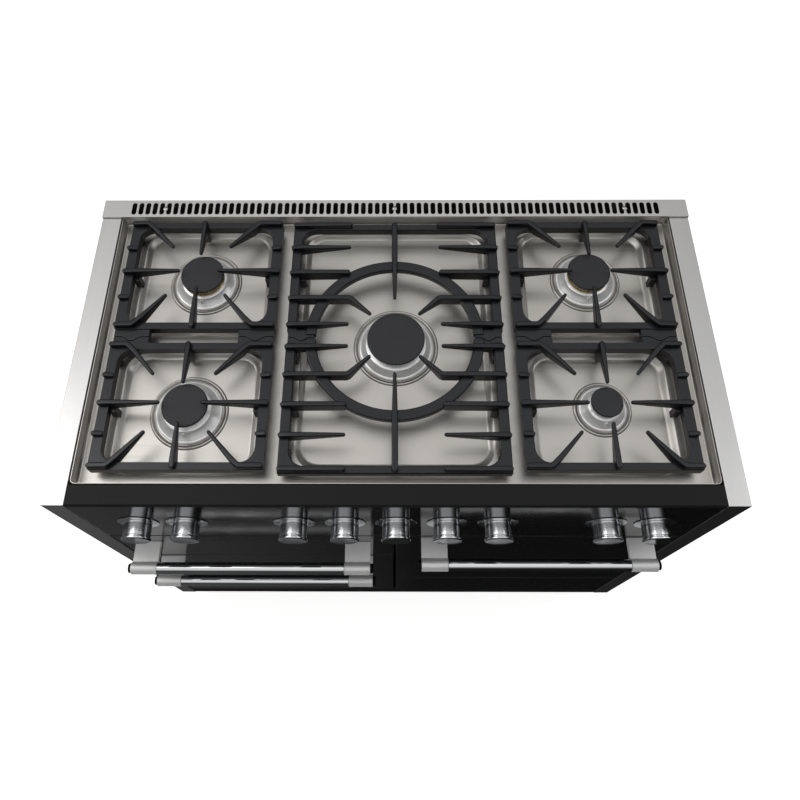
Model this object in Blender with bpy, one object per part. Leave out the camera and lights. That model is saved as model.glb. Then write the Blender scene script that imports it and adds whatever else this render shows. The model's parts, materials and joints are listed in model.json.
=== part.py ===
"""Freestanding gas range, five burners, two ovens, a grill and a storage drawer.

Metres, +Z up, +X to the right of a person facing the range, +Y towards the wall.
Every length below is measured from the middle of the front face at floor level.
The whole range hangs on one empty, which puts the middle of its footprint at the
world origin.
"""

import math

import bmesh
import bpy
from mathutils import Matrix, Vector

for old in list(bpy.data.objects):
    bpy.data.objects.remove(old, do_unlink=True)

# ---------------------------------------------------------------- dimensions
GAP = 0.0003  # clearance between pieces that touch

WIDTH = 1.082
DEPTH = 0.577
TOP = 0.905  # pillar tops above the floor
PILLAR_W = 0.035
BODY_Z = 0.058  # lower edge of the body
INNER_X = WIDTH / 2 - PILLAR_W - 0.0005  # half width between the pillars
TRIM_Y = 0.539  # front edge of the rear vent trim
SKIN = 0.002
SHEET = 0.002

RAIL_D = 0.034
RAIL_H = 0.0068
FASCIA_TOP = TOP - 0.0075
FASCIA_BOT = TOP - 0.200
FASCIA_T = 0.003

TRAY_Z = TOP - 0.028  # flat part of the hob tray
WELL_DROP = 0.008
WELL_Z = TRAY_Z - WELL_DROP

DOOR_T = 0.004  # outer panel of a door
LINER_Y = 0.036  # back of a door liner
PLUG_Y = 0.046  # back of the part of the liner that enters the cavity
FLANGE_Y = 0.043  # front of each cavity's flange
HINGE = 0.006  # hinge axis behind the front face and above the lower edge

HANDLE_P = 0.048  # bar centre in front of the door
HANDLE_R = 0.0105
EYE_R = HANDLE_R + 0.0006  # bracket end round the bar

KNOB_Z = TOP - 0.103
KNOB_XS = (-0.4222, -0.3424, -0.1656, -0.0818, 0.002, 0.0858, 0.1696, 0.3464, 0.4262)
KNOB_NAMES = (
    "knob_grill",
    "knob_left_oven",
    "knob_burner_left_rear",
    "knob_burner_left_front",
    "knob_burner_centre",
    "knob_burner_right_front",
    "knob_burner_right_rear",
    "knob_right_oven",
    "knob_right_oven_function",
)

# name: (x, y, cap radius, dish radius)
BURNERS = {
    "left_rear": (-0.342, 0.417, 0.038, 0.0545),
    "left_front": (-0.342, 0.166, 0.0378, 0.0555),
    "centre": (0.002, 0.288, 0.049, 0.0635),
    "right_rear": (0.345, 0.422, 0.0375, 0.0530),
    "right_front": (0.345, 0.172, 0.0262, 0.0395),
}
# wells pressed in the tray: centre x, centre y, half width, half depth
WELLS = {
    "left_rear": (-0.341, 0.417, 0.115, 0.107),
    "left_front": (-0.342, 0.166, 0.113, 0.107),
    "centre": (0.0, 0.2945, 0.160, 0.2255),
    "right_rear": (0.342, 0.417, 0.113, 0.107),
    "right_front": (0.342, 0.166, 0.113, 0.107),
}
WELL_R = 0.030
BURNER_HOLE = 0.74  # tray hole radius over dish radius

GRATE_TOP = TOP + 0.014
GRATE_RAIL_TOP = TOP + 0.004
GRATE_RAIL_BOT = TOP - 0.012
GRATE_X = (0.204, 0.4795)  # side pan supports, inner and outer edge
GRATE_REAR_Y = (0.304, 0.5255)
GRATE_FRONT_Y = (0.0555, 0.2775)
GRATE_SPLIT_Y = 0.2905
GRATE_BURNER_X = 0.346
CENTRE_GRATE_X = 0.1835
CENTRE_GRATE_Y = (0.050, 0.5215)
CENTRE_SPLIT_Y = 0.2885
REAR_ROWS = (0.3095, 0.3615, 0.4135, 0.4660)
FRONT_ROWS = (0.2675, 0.2160, 0.1630, 0.1110)
RING = (0.133, 0.1515)
RAIL_SIDE = 0.0165
RAIL_END = 0.0125
FINGER_W = 0.0085
TIP_W = 0.0055

FOOT_XS = (-0.500, 0.500)
FOOT_YS = (0.050, 0.530)

# doors and drawer: x0, x1, z0, z1
LEFT_X = (-0.5025, -0.0025)
RIGHT_X = (0.0025, 0.5025)
GRILL_Z = (0.537, 0.700)
LEFT_OVEN_Z = (0.114, 0.533)
RIGHT_OVEN_Z = (0.278, 0.700)
DRAWER_Z = (0.114, 0.274)

# handle: bar end to bar end in x, bar centre height
HANDLES = {
    "grill": (-0.478, -0.038, TOP - 0.249),
    "left_oven": (-0.468, -0.037, TOP - 0.380),
    "right_oven": (0.041, 0.464, TOP - 0.213),
}
PLUG_L = 0.006  # end plug beyond each bracket
BRACKET_W = 0.046

# cavities: opening x0, x1, z0, z1, depth behind the flange, flange x0, x1, z0, z1
CAVITIES = {
    "grill_cavity": (-0.478, -0.028, 0.558, 0.686, 0.400, -0.505, -0.001, 0.5355, 0.7005),
    "left_oven_cavity": (-0.478, -0.028, 0.152, 0.508, 0.440, -0.505, -0.001, 0.1125, 0.5345),
    "right_oven_cavity": (0.028, 0.478, 0.316, 0.674, 0.440, 0.001, 0.505, 0.2765, 0.7005),
}
SHELF_Z = {"left_oven_shelf": 0.205, "right_oven_shelf": 0.370}

SLOTS = 76
SLOT_PITCH = 0.0129
SLOT_W = 0.0090
SLOT_Y = (0.5440, 0.5705)
TRIM_RISE = 0.0045  # trim over the hob's edge

# ---------------------------------------------------------------- materials


def material(name, colour, roughness, metallic):
    made = bpy.data.materials.new(name)
    made.use_nodes = True
    shader = made.node_tree.nodes["Principled BSDF"]
    shader.inputs["Base Color"].default_value = (*colour, 1)
    shader.inputs["Roughness"].default_value = roughness
    shader.inputs["Metallic"].default_value = metallic
    made.diffuse_color = (*colour, 1)
    return made


STAINLESS = material("stainless", (0.62, 0.60, 0.57), 0.32, 1.0)
BLACK_SATIN = material("black_satin", (0.012, 0.012, 0.014), 0.35, 0.0)
BLACK_GLOSS = material("black_gloss", (0.006, 0.006, 0.007), 0.06, 0.0)
CAST_IRON = material("cast_iron", (0.018, 0.018, 0.021), 0.45, 0.0)
CAP_ENAMEL = material("cap_enamel", (0.015, 0.015, 0.017), 0.5, 0.0)
ALUMINIUM = material("aluminium", (0.75, 0.75, 0.76), 0.25, 1.0)
CHROME = material("chrome", (0.85, 0.85, 0.87), 0.06, 1.0)
SATIN_CHROME = material("satin_chrome", (0.75, 0.76, 0.78), 0.22, 1.0)
OVEN_ENAMEL = material("oven_enamel", (0.03, 0.03, 0.035), 0.25, 0.0)
GALVANISED = material("galvanised", (0.45, 0.46, 0.47), 0.45, 1.0)
FOOT_STEEL = material("foot_steel", (0.35, 0.35, 0.36), 0.4, 1.0)
BRASS = material("brass", (0.72, 0.52, 0.24), 0.3, 1.0)
SHELF_CHROME = material("shelf_chrome", (0.8, 0.8, 0.8), 0.15, 1.0)

# ---------------------------------------------------------------- helpers

datum = bpy.data.objects.new("range_datum", None)
datum.location = (0, -(DEPTH - HANDLE_P - EYE_R) / 2, 0)
bpy.context.scene.collection.objects.link(datum)


def place(name, bm, surface, pivot=(0, 0, 0), smooth=False, helper=False):
    """Turns a bmesh into an object whose origin is at pivot."""
    bmesh.ops.recalc_face_normals(bm, faces=bm.faces)
    bmesh.ops.translate(bm, verts=bm.verts, vec=-Vector(pivot))
    mesh = bpy.data.meshes.new(name)
    bm.to_mesh(mesh)
    bm.free()
    obj = bpy.data.objects.new(name, mesh)
    bpy.context.scene.collection.objects.link(obj)
    obj.parent = datum
    obj.location = pivot
    mesh.materials.append(surface)
    if smooth:
        mesh.shade_smooth()
        mesh.set_sharp_from_angle(angle=math.radians(35))
    if helper:
        obj.hide_render = True
        obj.display_type = "WIRE"
    return obj


def add_box(bm, x0, x1, y0, y1, z0, z1):
    size = Matrix.Diagonal((x1 - x0, y1 - y0, z1 - z0, 1))
    middle = Matrix.Translation(((x0 + x1) / 2, (y0 + y1) / 2, (z0 + z1) / 2))
    bmesh.ops.create_cube(bm, size=1, matrix=middle @ size)


def add_prism(bm, outline, low, high, axis="z", holes=()):
    """Extrudes a closed outline, with holes, from low to high along one axis."""

    def at(u, v, w):
        return {"z": (u, v, w), "y": (u, w, v), "x": (w, u, v)}[axis]

    edges = []
    for loop in (outline, *holes):
        verts = [bm.verts.new(at(u, v, low)) for u, v in loop]
        edges += [bm.edges.new((a, b)) for a, b in zip(verts, verts[1:] + verts[:1])]
    if holes:
        faces = bmesh.ops.triangle_fill(bm, use_beauty=True, edges=edges)["geom"]
        faces = [f for f in faces if isinstance(f, bmesh.types.BMFace)]
    else:
        faces = [bm.faces.new(verts)]
    grown = bmesh.ops.extrude_face_region(bm, geom=faces, use_keep_orig=True)["geom"]
    shift = Vector(at(0, 0, high - low))
    bmesh.ops.translate(
        bm, vec=shift, verts=[v for v in grown if isinstance(v, bmesh.types.BMVert)]
    )


def add_turned(bm, profile, segments, centre=(0, 0, 0), axis="z"):
    """Turns (radius, height) points about an axis. The first and last lie on it."""
    rings = []
    for radius, height in profile:
        if radius == 0:
            ring = [(0.0, 0.0, height)]
        else:
            ring = [
                (
                    radius * math.cos(2 * math.pi * i / segments),
                    radius * math.sin(2 * math.pi * i / segments),
                    height,
                )
                for i in range(segments)
            ]
        if axis == "y":  # heights run towards -y
            ring = [(x, -h, y) for x, y, h in ring]
        if axis == "x":
            ring = [(h, x, y) for x, y, h in ring]
        rings.append([bm.verts.new(Vector(p) + Vector(centre)) for p in ring])
    for one, two in zip(rings, rings[1:]):
        for i in range(segments):
            j = (i + 1) % segments
            corners = (
                [one[i % len(one)], two[i % len(two)], two[j % len(two)], one[j % len(one)]]
            )
            kept = []
            for v in corners:
                if v not in kept:
                    kept.append(v)
            if len(kept) > 2:
                bm.faces.new(kept)


def add_rect_loft(bm, loops):
    """Joins rectangles (x0, x1, z0, z1, y) in turn and closes both ends."""
    rings = []
    for x0, x1, z0, z1, y in loops:
        corners = ((x0, z0), (x1, z0), (x1, z1), (x0, z1))
        rings.append([bm.verts.new((x, y, z)) for x, z in corners])
    for one, two in zip(rings, rings[1:]):
        for i in range(4):
            j = (i + 1) % 4
            bm.faces.new((one[i], one[j], two[j], two[i]))
    bm.faces.new(rings[0])
    bm.faces.new(rings[-1])


def rounded(cx, cy, hx, hy, radius, steps=4):
    """Points of a rectangle with round corners, anticlockwise."""
    points = []
    for sx, sy, start in ((1, 1, 0), (-1, 1, 90), (-1, -1, 180), (1, -1, 270)):
        for i in range(steps + 1):
            angle = math.radians(start + 90 * i / steps)
            points.append(
                (
                    cx + sx * (hx - radius) + radius * math.cos(angle),
                    cy + sy * (hy - radius) + radius * math.sin(angle),
                )
            )
    return points


def circle(cx, cy, radius, segments):
    return [
        (
            cx + radius * math.cos(2 * math.pi * i / segments),
            cy + radius * math.sin(2 * math.pi * i / segments),
        )
        for i in range(segments)
    ]


def add_blade(bm, stations):
    """A bar of upright rectangular section through (x, y, width, z_low, z_high)."""
    rings = []
    for i, (x, y, width, low, high) in enumerate(stations):
        before = stations[max(i - 1, 0)]
        after = stations[min(i + 1, len(stations) - 1)]
        d_in = Vector((x - before[0], y - before[1]))
        d_out = Vector((after[0] - x, after[1] - y))
        d_in = d_in.normalized() if d_in.length > 0 else d_out.normalized()
        d_out = d_out.normalized() if d_out.length > 0 else d_in
        along = (d_in + d_out).normalized()
        across = Vector((-along.y, along.x)) * (width / 2 / max(along.dot(d_in), 0.5))
        rings.append(
            [
                bm.verts.new((x + s * across.x, y + s * across.y, z))
                for s, z in ((-1, low), (1, low), (1, high), (-1, high))
            ]
        )
    for one, two in zip(rings, rings[1:]):
        for i in range(4):
            j = (i + 1) % 4
            bm.faces.new((one[i], one[j], two[j], two[i]))
    bm.faces.new(rings[0])
    bm.faces.new(rings[-1])


def add_tube(bm, points, radius, segments):
    """A round bar along a path with mitred corners."""
    points = [Vector(p) for p in points]
    rings = []
    side = Vector((0, 0, 1))
    for i, point in enumerate(points):
        d_in = (point - points[i - 1]).normalized() if i else None
        d_out = (points[i + 1] - point).normalized() if i + 1 < len(points) else None
        straight = d_in or d_out
        along = (d_in + d_out).normalized() if d_in and d_out else straight
        across = straight.cross(side).normalized()
        ring = []
        for k in range(segments):
            angle = 2 * math.pi * (k + 0.5) / segments
            offset = side * math.sin(angle) * radius + across * math.cos(angle) * radius
            offset -= straight * (offset.dot(along) / straight.dot(along))
            ring.append(bm.verts.new(point + offset))
        rings.append(ring)
    for one, two in zip(rings, rings[1:]):
        for i in range(segments):
            j = (i + 1) % segments
            bm.faces.new((one[i], one[j], two[j], two[i]))
    bm.faces.new(rings[0])
    bm.faces.new(rings[-1])


def fuse(obj, helper):
    """Joins every shell of the helper to the object."""
    join = obj.modifiers.new("join", "BOOLEAN")
    join.operation = "UNION"
    join.solver = "EXACT"
    join.use_self = True
    join.object = helper


def cut(obj, helper):
    slot = obj.modifiers.new("cut", "BOOLEAN")
    slot.operation = "DIFFERENCE"
    slot.solver = "EXACT"
    slot.object = helper


# ---------------------------------------------------------------- body

for side, name in ((-1, "side_panel_left"), (1, "side_panel_right")):
    outer, inner = side * WIDTH / 2, side * (WIDTH / 2 - PILLAR_W)
    bm = bmesh.new()
    step = TOP - 0.0023
    outline = [
        (0, BODY_Z),
        (DEPTH, BODY_Z),
        (DEPTH, step),
        (TRIM_Y - GAP, step),
        (TRIM_Y - GAP, TOP),
        (0, TOP),
    ]
    add_prism(bm, outline, min(outer, inner), max(outer, inner), axis="x")
    panel = place(name, bm, STAINLESS)
    bm = bmesh.new()
    xs = sorted((outer - side * SKIN, inner - side * 0.01))
    add_box(bm, *xs, SKIN, DEPTH - SKIN, BODY_Z + SKIN, TOP - 0.008)
    cut(panel, place(name + "_pocket", bm, STAINLESS, helper=True))

bm = bmesh.new()
outline = [
    (-WIDTH / 2, TRIM_Y),
    (WIDTH / 2, TRIM_Y),
    (WIDTH / 2, DEPTH),
    (-WIDTH / 2, DEPTH),
]
slots = []
for i in range(SLOTS):
    x = (i - (SLOTS - 1) / 2) * SLOT_PITCH
    slots.append(
        [
            (x - SLOT_W / 2, SLOT_Y[0]),
            (x + SLOT_W / 2, SLOT_Y[0]),
            (x + SLOT_W / 2, SLOT_Y[1]),
            (x - SLOT_W / 2, SLOT_Y[1]),
        ]
    )
add_prism(bm, outline, TOP + TRIM_RISE - 0.0015, TOP + TRIM_RISE, holes=slots)
trim = place("rear_vent_trim", bm, STAINLESS)
for i, (x0, x1, y0, y1) in enumerate(
    (
        (-WIDTH / 2, WIDTH / 2, TRIM_Y, TRIM_Y + 0.0012),
        (-WIDTH / 2, WIDTH / 2, DEPTH - 0.0012, DEPTH),
        (-WIDTH / 2, -WIDTH / 2 + 0.0012, TRIM_Y + 0.0006, DEPTH - 0.0006),
        (WIDTH / 2 - 0.0012, WIDTH / 2, TRIM_Y + 0.0006, DEPTH - 0.0006),
    )
):
    bm = bmesh.new()
    add_box(bm, x0, x1, y0, y1, TOP - 0.0018, TOP + TRIM_RISE - 0.0008)
    fuse(trim, place(f"rear_vent_fold_{i}", bm, STAINLESS, helper=True))

bm = bmesh.new()
nose = [(0, TOP - RAIL_H), (RAIL_D, TOP - RAIL_H), (RAIL_D, TOP), (0.003, TOP), (0, TOP - 0.003)]
add_prism(bm, nose, -INNER_X, INNER_X, axis="x")
place("front_rail", bm, BLACK_SATIN)

bm = bmesh.new()
outline = [(-INNER_X, FASCIA_BOT), (INNER_X, FASCIA_BOT), (INNER_X, FASCIA_TOP), (-INNER_X, FASCIA_TOP)]
holes = [circle(x, KNOB_Z, 0.007, 8) for x in KNOB_XS]
add_prism(bm, outline, 0, FASCIA_T, axis="y", holes=holes)
place("control_fascia", bm, BLACK_GLOSS)

bm = bmesh.new()
add_box(bm, -INNER_X, INNER_X, 0.001, DEPTH - 0.007, BODY_Z, BODY_Z + SHEET)
frame = place("base_frame", bm, BLACK_SATIN)
bm = bmesh.new()
add_box(bm, -INNER_X, INNER_X, 0.001, 0.004, BODY_Z, 0.111)
for x in (-0.016, 0.0145):  # the two walls between the ovens
    add_box(bm, x, x + 0.0015, 0.060, DEPTH - 0.012, BODY_Z + 0.0005, 0.722)
add_box(bm, -INNER_X, INNER_X, 0.062, 0.082, 0.7205, 0.7235)
add_box(bm, -INNER_X, INNER_X, 0.530, 0.550, 0.7205, 0.7235)
fuse(frame, place("base_frame_uprights", bm, BLACK_SATIN, helper=True))

bm = bmesh.new()
INLET_X, INLET_Z = 0.470, KNOB_Z
PANEL_TOP = TOP + TRIM_RISE - 0.0015 - GAP  # just under the vent trim, behind its slots
outline = [(-INNER_X, 0.062), (INNER_X, 0.062), (INNER_X, PANEL_TOP), (-INNER_X, PANEL_TOP)]
add_prism(bm, outline, DEPTH - 0.006, DEPTH - 0.0045, axis="y", holes=[circle(INLET_X, INLET_Z, 0.016, 10)])
place("back_panel", bm, GALVANISED)

for name, (x0, x1, z0, z1, deep, fx0, fx1, fz0, fz1) in CAVITIES.items():
    bm = bmesh.new()
    t, y = SHEET, FLANGE_Y
    add_rect_loft(
        bm,
        [
            (x0 - t, x1 + t, z0 - t, z1 + t, y + deep + t),
            (x0 - t, x1 + t, z0 - t, z1 + t, y + t),
            (fx0, fx1, fz0, fz1, y + t),
            (fx0, fx1, fz0, fz1, y),
            (x0, x1, z0, z1, y),
            (x0, x1, z0, z1, y + deep),
        ],
    )
    place(name, bm, OVEN_ENAMEL)

for name, z in SHELF_Z.items():
    x0, x1 = CAVITIES[name.replace("shelf", "cavity")][:2]
    x0, x1, y0, y1 = x0 + 0.0005, x1 - 0.0005, 0.060, 0.460
    bars = 9
    pitch = (x1 - x0 - 0.008) / bars
    holes = []
    for i in range(bars):
        a, b = x0 + 0.004 + i * pitch + 0.0025, x0 + 0.004 + (i + 1) * pitch - 0.0025
        holes.append([(a, y0 + 0.006), (b, y0 + 0.006), (b, y1 - 0.006), (a, y1 - 0.006)])
    bm = bmesh.new()
    add_prism(bm, [(x0, y0), (x1, y0), (x1, y1), (x0, y1)], z, z + 0.006, holes=holes)
    place(name, bm, SHELF_CHROME)


def add_tray(bm, x0, x1, y0, y1, z0, z1, wall):
    """An open-topped box."""
    rings = []
    for inset, z in ((0, z0), (0, z1), (wall, z1), (wall, z0 + wall)):
        corners = (
            (x0 + inset, y0 + inset),
            (x1 - inset, y0 + inset),
            (x1 - inset, y1 - inset),
            (x0 + inset, y1 - inset),
        )
        rings.append([bm.verts.new((x, y, z)) for x, y in corners])
    for one, two in zip(rings, rings[1:]):
        for i in range(4):
            j = (i + 1) % 4
            bm.faces.new((one[i], one[j], two[j], two[i]))
    bm.faces.new(rings[0])
    bm.faces.new(rings[-1])


bm = bmesh.new()
add_tray(bm, -0.4775, -0.0285, 0.062, 0.420, 0.572, 0.602, SHEET)
place("grill_pan", bm, OVEN_ENAMEL)

# ---------------------------------------------------------------- hob tray

bm = bmesh.new()
tx, ty0, ty1 = INNER_X - 0.0020, RAIL_D + 0.0025, 0.5455


def ring_of(points, z):
    return [bm.verts.new((x, y, z)) for x, y in points]


def edges_of(verts):
    return [
        bm.edges.get((a, b)) or bm.edges.new((a, b))
        for a, b in zip(verts, verts[1:] + verts[:1])
    ]


rim = ring_of([(-tx, ty0), (tx, ty0), (tx, ty1), (-tx, ty1)], TRAY_Z)
flat = edges_of(rim)
lows = {}
for key, (cx, cy, hx, hy) in WELLS.items():
    high = ring_of(rounded(cx, cy, hx, hy, WELL_R), TRAY_Z)
    low = ring_of(rounded(cx, cy, hx - 0.006, hy - 0.006, WELL_R - 0.006), WELL_Z)
    for i in range(len(high)):
        j = (i + 1) % len(high)
        bm.faces.new((high[i], high[j], low[j], low[i]))
    flat += edges_of(high)
    lows[key] = low
bmesh.ops.triangle_fill(bm, use_beauty=True, edges=flat)
for key, low in lows.items():
    x, y, cap, dish = BURNERS[key]
    hole = ring_of(circle(x, y, dish * BURNER_HOLE, 20), WELL_Z)
    bmesh.ops.triangle_fill(bm, use_beauty=True, edges=edges_of(low) + edges_of(hole))
wall = ring_of([(-tx, ty0), (tx, ty0), (tx, ty1), (-tx, ty1)], TOP - 0.0024)
for i in range(4):
    j = (i + 1) % 4
    bm.faces.new((rim[i], rim[j], wall[j], wall[i]))
bmesh.ops.recalc_face_normals(bm, faces=bm.faces)
lowest = min(bm.faces, key=lambda f: f.calc_center_median().z)
if lowest.normal.z < 0:
    bmesh.ops.reverse_faces(bm, faces=bm.faces)
mesh = bpy.data.meshes.new("hob_tray")
bm.to_mesh(mesh)
bm.free()
mesh.materials.append(STAINLESS)
tray = bpy.data.objects.new("hob_tray", mesh)
bpy.context.scene.collection.objects.link(tray)
tray.parent = datum
thick = tray.modifiers.new("sheet", "SOLIDIFY")
thick.thickness = 0.0012
thick.offset = -1
thick.use_even_offset = True

# ---------------------------------------------------------------- burners

for key, (x, y, cap, dish) in BURNERS.items():
    bm = bmesh.new()
    profile = [
        (0, 0.0297),
        (0.84 * cap, 0.0297),
        (0.88 * cap, 0.020),
        (1.06 * cap, 0.016),
        (dish, 0.003),
        (dish, GAP),
        (dish * BURNER_HOLE - 0.004, GAP),
        (dish * BURNER_HOLE - 0.006, -0.022),
        (0, -0.022),
    ]
    add_turned(bm, profile, 24, (x, y, WELL_Z))
    place("burner_body_" + key, bm, ALUMINIUM, (x, y, WELL_Z), smooth=True)
    bm = bmesh.new()
    profile = [
        (0, 0.036),
        (cap - 0.0015, 0.036),
        (cap, 0.0345),
        (cap, 0.0310),
        (cap - 0.001, 0.0300),
        (0, 0.0300),
    ]
    add_turned(bm, profile, 24, (x, y, WELL_Z))
    place("burner_cap_" + key, bm, CAP_ENAMEL, (x, y, WELL_Z + 0.030), smooth=True)

# ---------------------------------------------------------------- pan supports

TIP_LOW = GRATE_TOP - 0.006
ROOT_LOW = GRATE_RAIL_TOP - 0.011
SINK = GRATE_RAIL_TOP - 0.004  # raised ridges reach this far into the rails
FOOT_TOP = GRATE_RAIL_BOT + 0.004


def side_support(name, side, y_range, burner, front):
    """A rectangular frame with eight fingers round one burner."""
    xs = sorted(side * x for x in GRATE_X)
    x0, x1 = xs
    y0, y1 = y_range
    bx, by = (side * GRATE_BURNER_X, burner)
    mx, my = (x0 + x1) / 2, (y0 + y1) / 2
    bm = bmesh.new()
    outline = [(x0, y0), (x1, y0), (x1, y1), (x0, y1)]
    hole = rounded(mx, my, (x1 - x0) / 2 - RAIL_SIDE, (y1 - y0) / 2 - RAIL_END, 0.022, 3)
    add_prism(bm, outline, GRATE_RAIL_BOT, GRATE_RAIL_TOP, holes=[hole])
    grate = place(name, bm, CAST_IRON, (bx, by, GRATE_RAIL_BOT))
    bm = bmesh.new()
    out = 0.0015  # the finger roots stand this far outside the frame
    w, top = FINGER_W, GRATE_TOP
    for s, edge in ((-1, x0), (1, x1)):
        add_blade(
            bm,
            [
                (edge + s * out, by, w, SINK, top - 0.001),
                (edge - s * 0.018, by, w, ROOT_LOW, top),
                (bx + s * 0.033, by, TIP_W, TIP_LOW, top),
            ],
        )
    for s, edge in ((-1, y0), (1, y1)):
        add_blade(
            bm,
            [
                (bx, edge - s * 0.001, w, SINK, top - 0.001),
                (bx, edge - s * 0.016, w, ROOT_LOW, top),
                (bx, by + s * 0.0335, TIP_W, TIP_LOW, top),
            ],
        )
        for t, end in ((-1, x0), (1, x1)):
            yb = edge - s * 0.0055
            add_blade(
                bm,
                [
                    (end - t * 0.0008, yb, w, SINK, top - 0.001),
                    (bx + t * 0.103, yb, w, SINK, top),
                    (bx + t * 0.050, by + s * 0.049, TIP_W, TIP_LOW, top),
                ],
            )
    for s, edge in ((-1, x0), (1, x1)):
        for dy in (-0.052, 0.050):
            yy = by + dy
            add_blade(
                bm,
                [
                    (edge + s * out, yy, w, SINK, top - 0.002),
                    (edge - s * (RAIL_SIDE + 0.0012), yy, w, SINK, top - 0.004),
                ],
            )
    # feet on the tray, under the rails near the corners
    for fx in (x0 + 0.004, x1 - 0.014):
        for fy in (y0 + 0.018, y1 - 0.030):
            add_box(bm, fx, fx + 0.010, fy, fy + 0.012, TRAY_Z + GAP, FOOT_TOP)
    # tongues that meet the neighbouring support
    step = 0.0004
    for s, edge in ((-1, x0), (1, x1)):
        a, b = sorted((edge - s * 0.002, edge - s * 0.062))
        m = (a + b) / 2
        mid = GRATE_SPLIT_Y
        if front:
            tongue = [
                (a, y1 - 0.002),
                (b, y1 - 0.002),
                (b, mid - step),
                (m + 0.018, mid - step),
                (m, mid - 0.008 - step),
                (m - 0.018, mid - step),
                (a, mid - step),
            ]
        else:
            tongue = [
                (a, y0 + 0.002),
                (a, mid + step),
                (m - 0.018, mid + step),
                (m, mid - 0.008 + step),
                (m + 0.018, mid + step),
                (b, mid + step),
                (b, y0 + 0.002),
            ]
        add_prism(bm, tongue, GRATE_RAIL_BOT + 0.002, GRATE_RAIL_TOP - 0.002)
    fuse(grate, place(name + "_fingers", bm, CAST_IRON, helper=True))


for side, word in ((-1, "left"), (1, "right")):
    side_support(f"pan_support_{word}_rear", side, GRATE_REAR_Y, 0.417, False)
    side_support(f"pan_support_{word}_front", side, GRATE_FRONT_Y, 0.166, True)


def centre_support(name, sign):
    """Half of the wide frame, with half of the ring; sign is +1 behind, -1 in front."""
    mid = CENTRE_SPLIT_Y
    x = CENTRE_GRATE_X
    far = CENTRE_GRATE_Y[1] if sign > 0 else CENTRE_GRATE_Y[0]
    near = mid + sign * 0.0110
    bm = bmesh.new()

    def put(points):
        return points if sign > 0 else points[::-1]

    # frame open towards the middle: two side rails and the end bar
    inner_x, inner_y = x - RAIL_SIDE, far - sign * RAIL_END
    corner = 0.024
    arc = []
    for i in range(4):
        angle = math.radians(90 * i / 3)
        arc.append(
            (
                inner_x - corner + corner * math.cos(angle),
                inner_y - sign * corner + sign * corner * math.sin(angle),
            )
        )
    outline = [(x, near), (x, far), (-x, far), (-x, near), (-inner_x, near)]
    outline += [(-px, py) for px, py in arc]
    outline += arc[::-1]
    outline.append((inner_x, near))
    add_prism(bm, put(outline), GRATE_RAIL_BOT, GRATE_RAIL_TOP)
    grate = place(name, bm, CAST_IRON, (0, mid, GRATE_RAIL_BOT))
    bm = bmesh.new()
    w, top = FINGER_W, GRATE_TOP
    rows = REAR_ROWS if sign > 0 else FRONT_ROWS
    for s in (-1, 1):
        for row, y in enumerate(rows):
            stations = [(s * (x + 0.0012), y, w, SINK, top - 0.001)]
            if row == 1:
                stations += [
                    (s * 0.076, y, w, ROOT_LOW, top),
                    (s * 0.0405, mid + sign * 0.0390, TIP_W, TIP_LOW, top),
                ]
            elif row == 2:
                stations += [
                    (s * (x - 0.018), y, w, ROOT_LOW - 0.002, top),
                    (s * 0.078, y, w, ROOT_LOW, top),
                ]
            else:
                stations += [
                    (s * (x - 0.018), y, w, ROOT_LOW, top),
                    (s * 0.078, y, TIP_W, TIP_LOW, top),
                ]
            add_blade(bm, stations)
        yb = far - sign * 0.0058
        add_blade(
            bm,
            [
                (s * (x - 0.0008), yb, w, SINK, top - 0.001),
                (s * 0.077, yb, w, SINK, top),
            ],
        )
        for d in (0.030, 0.200):
            fy = mid + sign * d
            add_box(
                bm,
                s * (x - 0.0135) - 0.005,
                s * (x - 0.0135) + 0.005,
                fy - 0.006,
                fy + 0.006,
                TRAY_Z + GAP,
                FOOT_TOP,
            )
        # tongue beside the split
        a, b = sorted((s * (x - 0.002), s * 0.136))
        m = (a + b) / 2
        step = 0.0004
        if sign > 0:
            tongue = [
                (a, near + 0.004),
                (a, mid + step),
                (m - 0.014, mid + step),
                (m, mid - 0.007 + step),
                (m + 0.014, mid + step),
                (b, mid + step),
                (b, near + 0.004),
            ]
        else:
            tongue = [
                (a, near - 0.004),
                (b, near - 0.004),
                (b, mid - step),
                (m + 0.014, mid - step),
                (m, mid - 0.007 - step),
                (m - 0.014, mid - step),
                (a, mid - step),
            ]
        add_prism(bm, tongue, GRATE_RAIL_BOT + 0.001, GRATE_RAIL_TOP - 0.001)
    # half ring
    r0, r1 = RING
    begin = math.asin(0.0035 / r0)
    turns = 16
    arc_out, arc_in = [], []
    for i in range(turns + 1):
        angle = begin + (math.pi - 2 * begin) * i / turns
        arc_out.append((r1 * math.cos(angle), mid + sign * r1 * math.sin(angle)))
        arc_in.append((r0 * math.cos(angle), mid + sign * r0 * math.sin(angle)))
    add_prism(bm, put(arc_out + arc_in[::-1]), GRATE_RAIL_TOP - 0.011, GRATE_RAIL_TOP + 0.0015)
    # finger from the end bar over the ring
    add_blade(
        bm,
        [
            (0, far - sign * 0.0012, w + 0.0015, SINK - 0.001, top - 0.0015),
            (0, far - sign * 0.020, w + 0.0015, ROOT_LOW - 0.001, top),
            (0, mid + sign * 0.155, w + 0.0015, ROOT_LOW - 0.001, top),
            (0, mid + sign * 0.0695, TIP_W, TIP_LOW, top),
        ],
    )
    fuse(grate, place(name + "_fingers", bm, CAST_IRON, helper=True))


centre_support("pan_support_centre_rear", 1)
centre_support("pan_support_centre_front", -1)

# ---------------------------------------------------------------- gas rail

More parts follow.
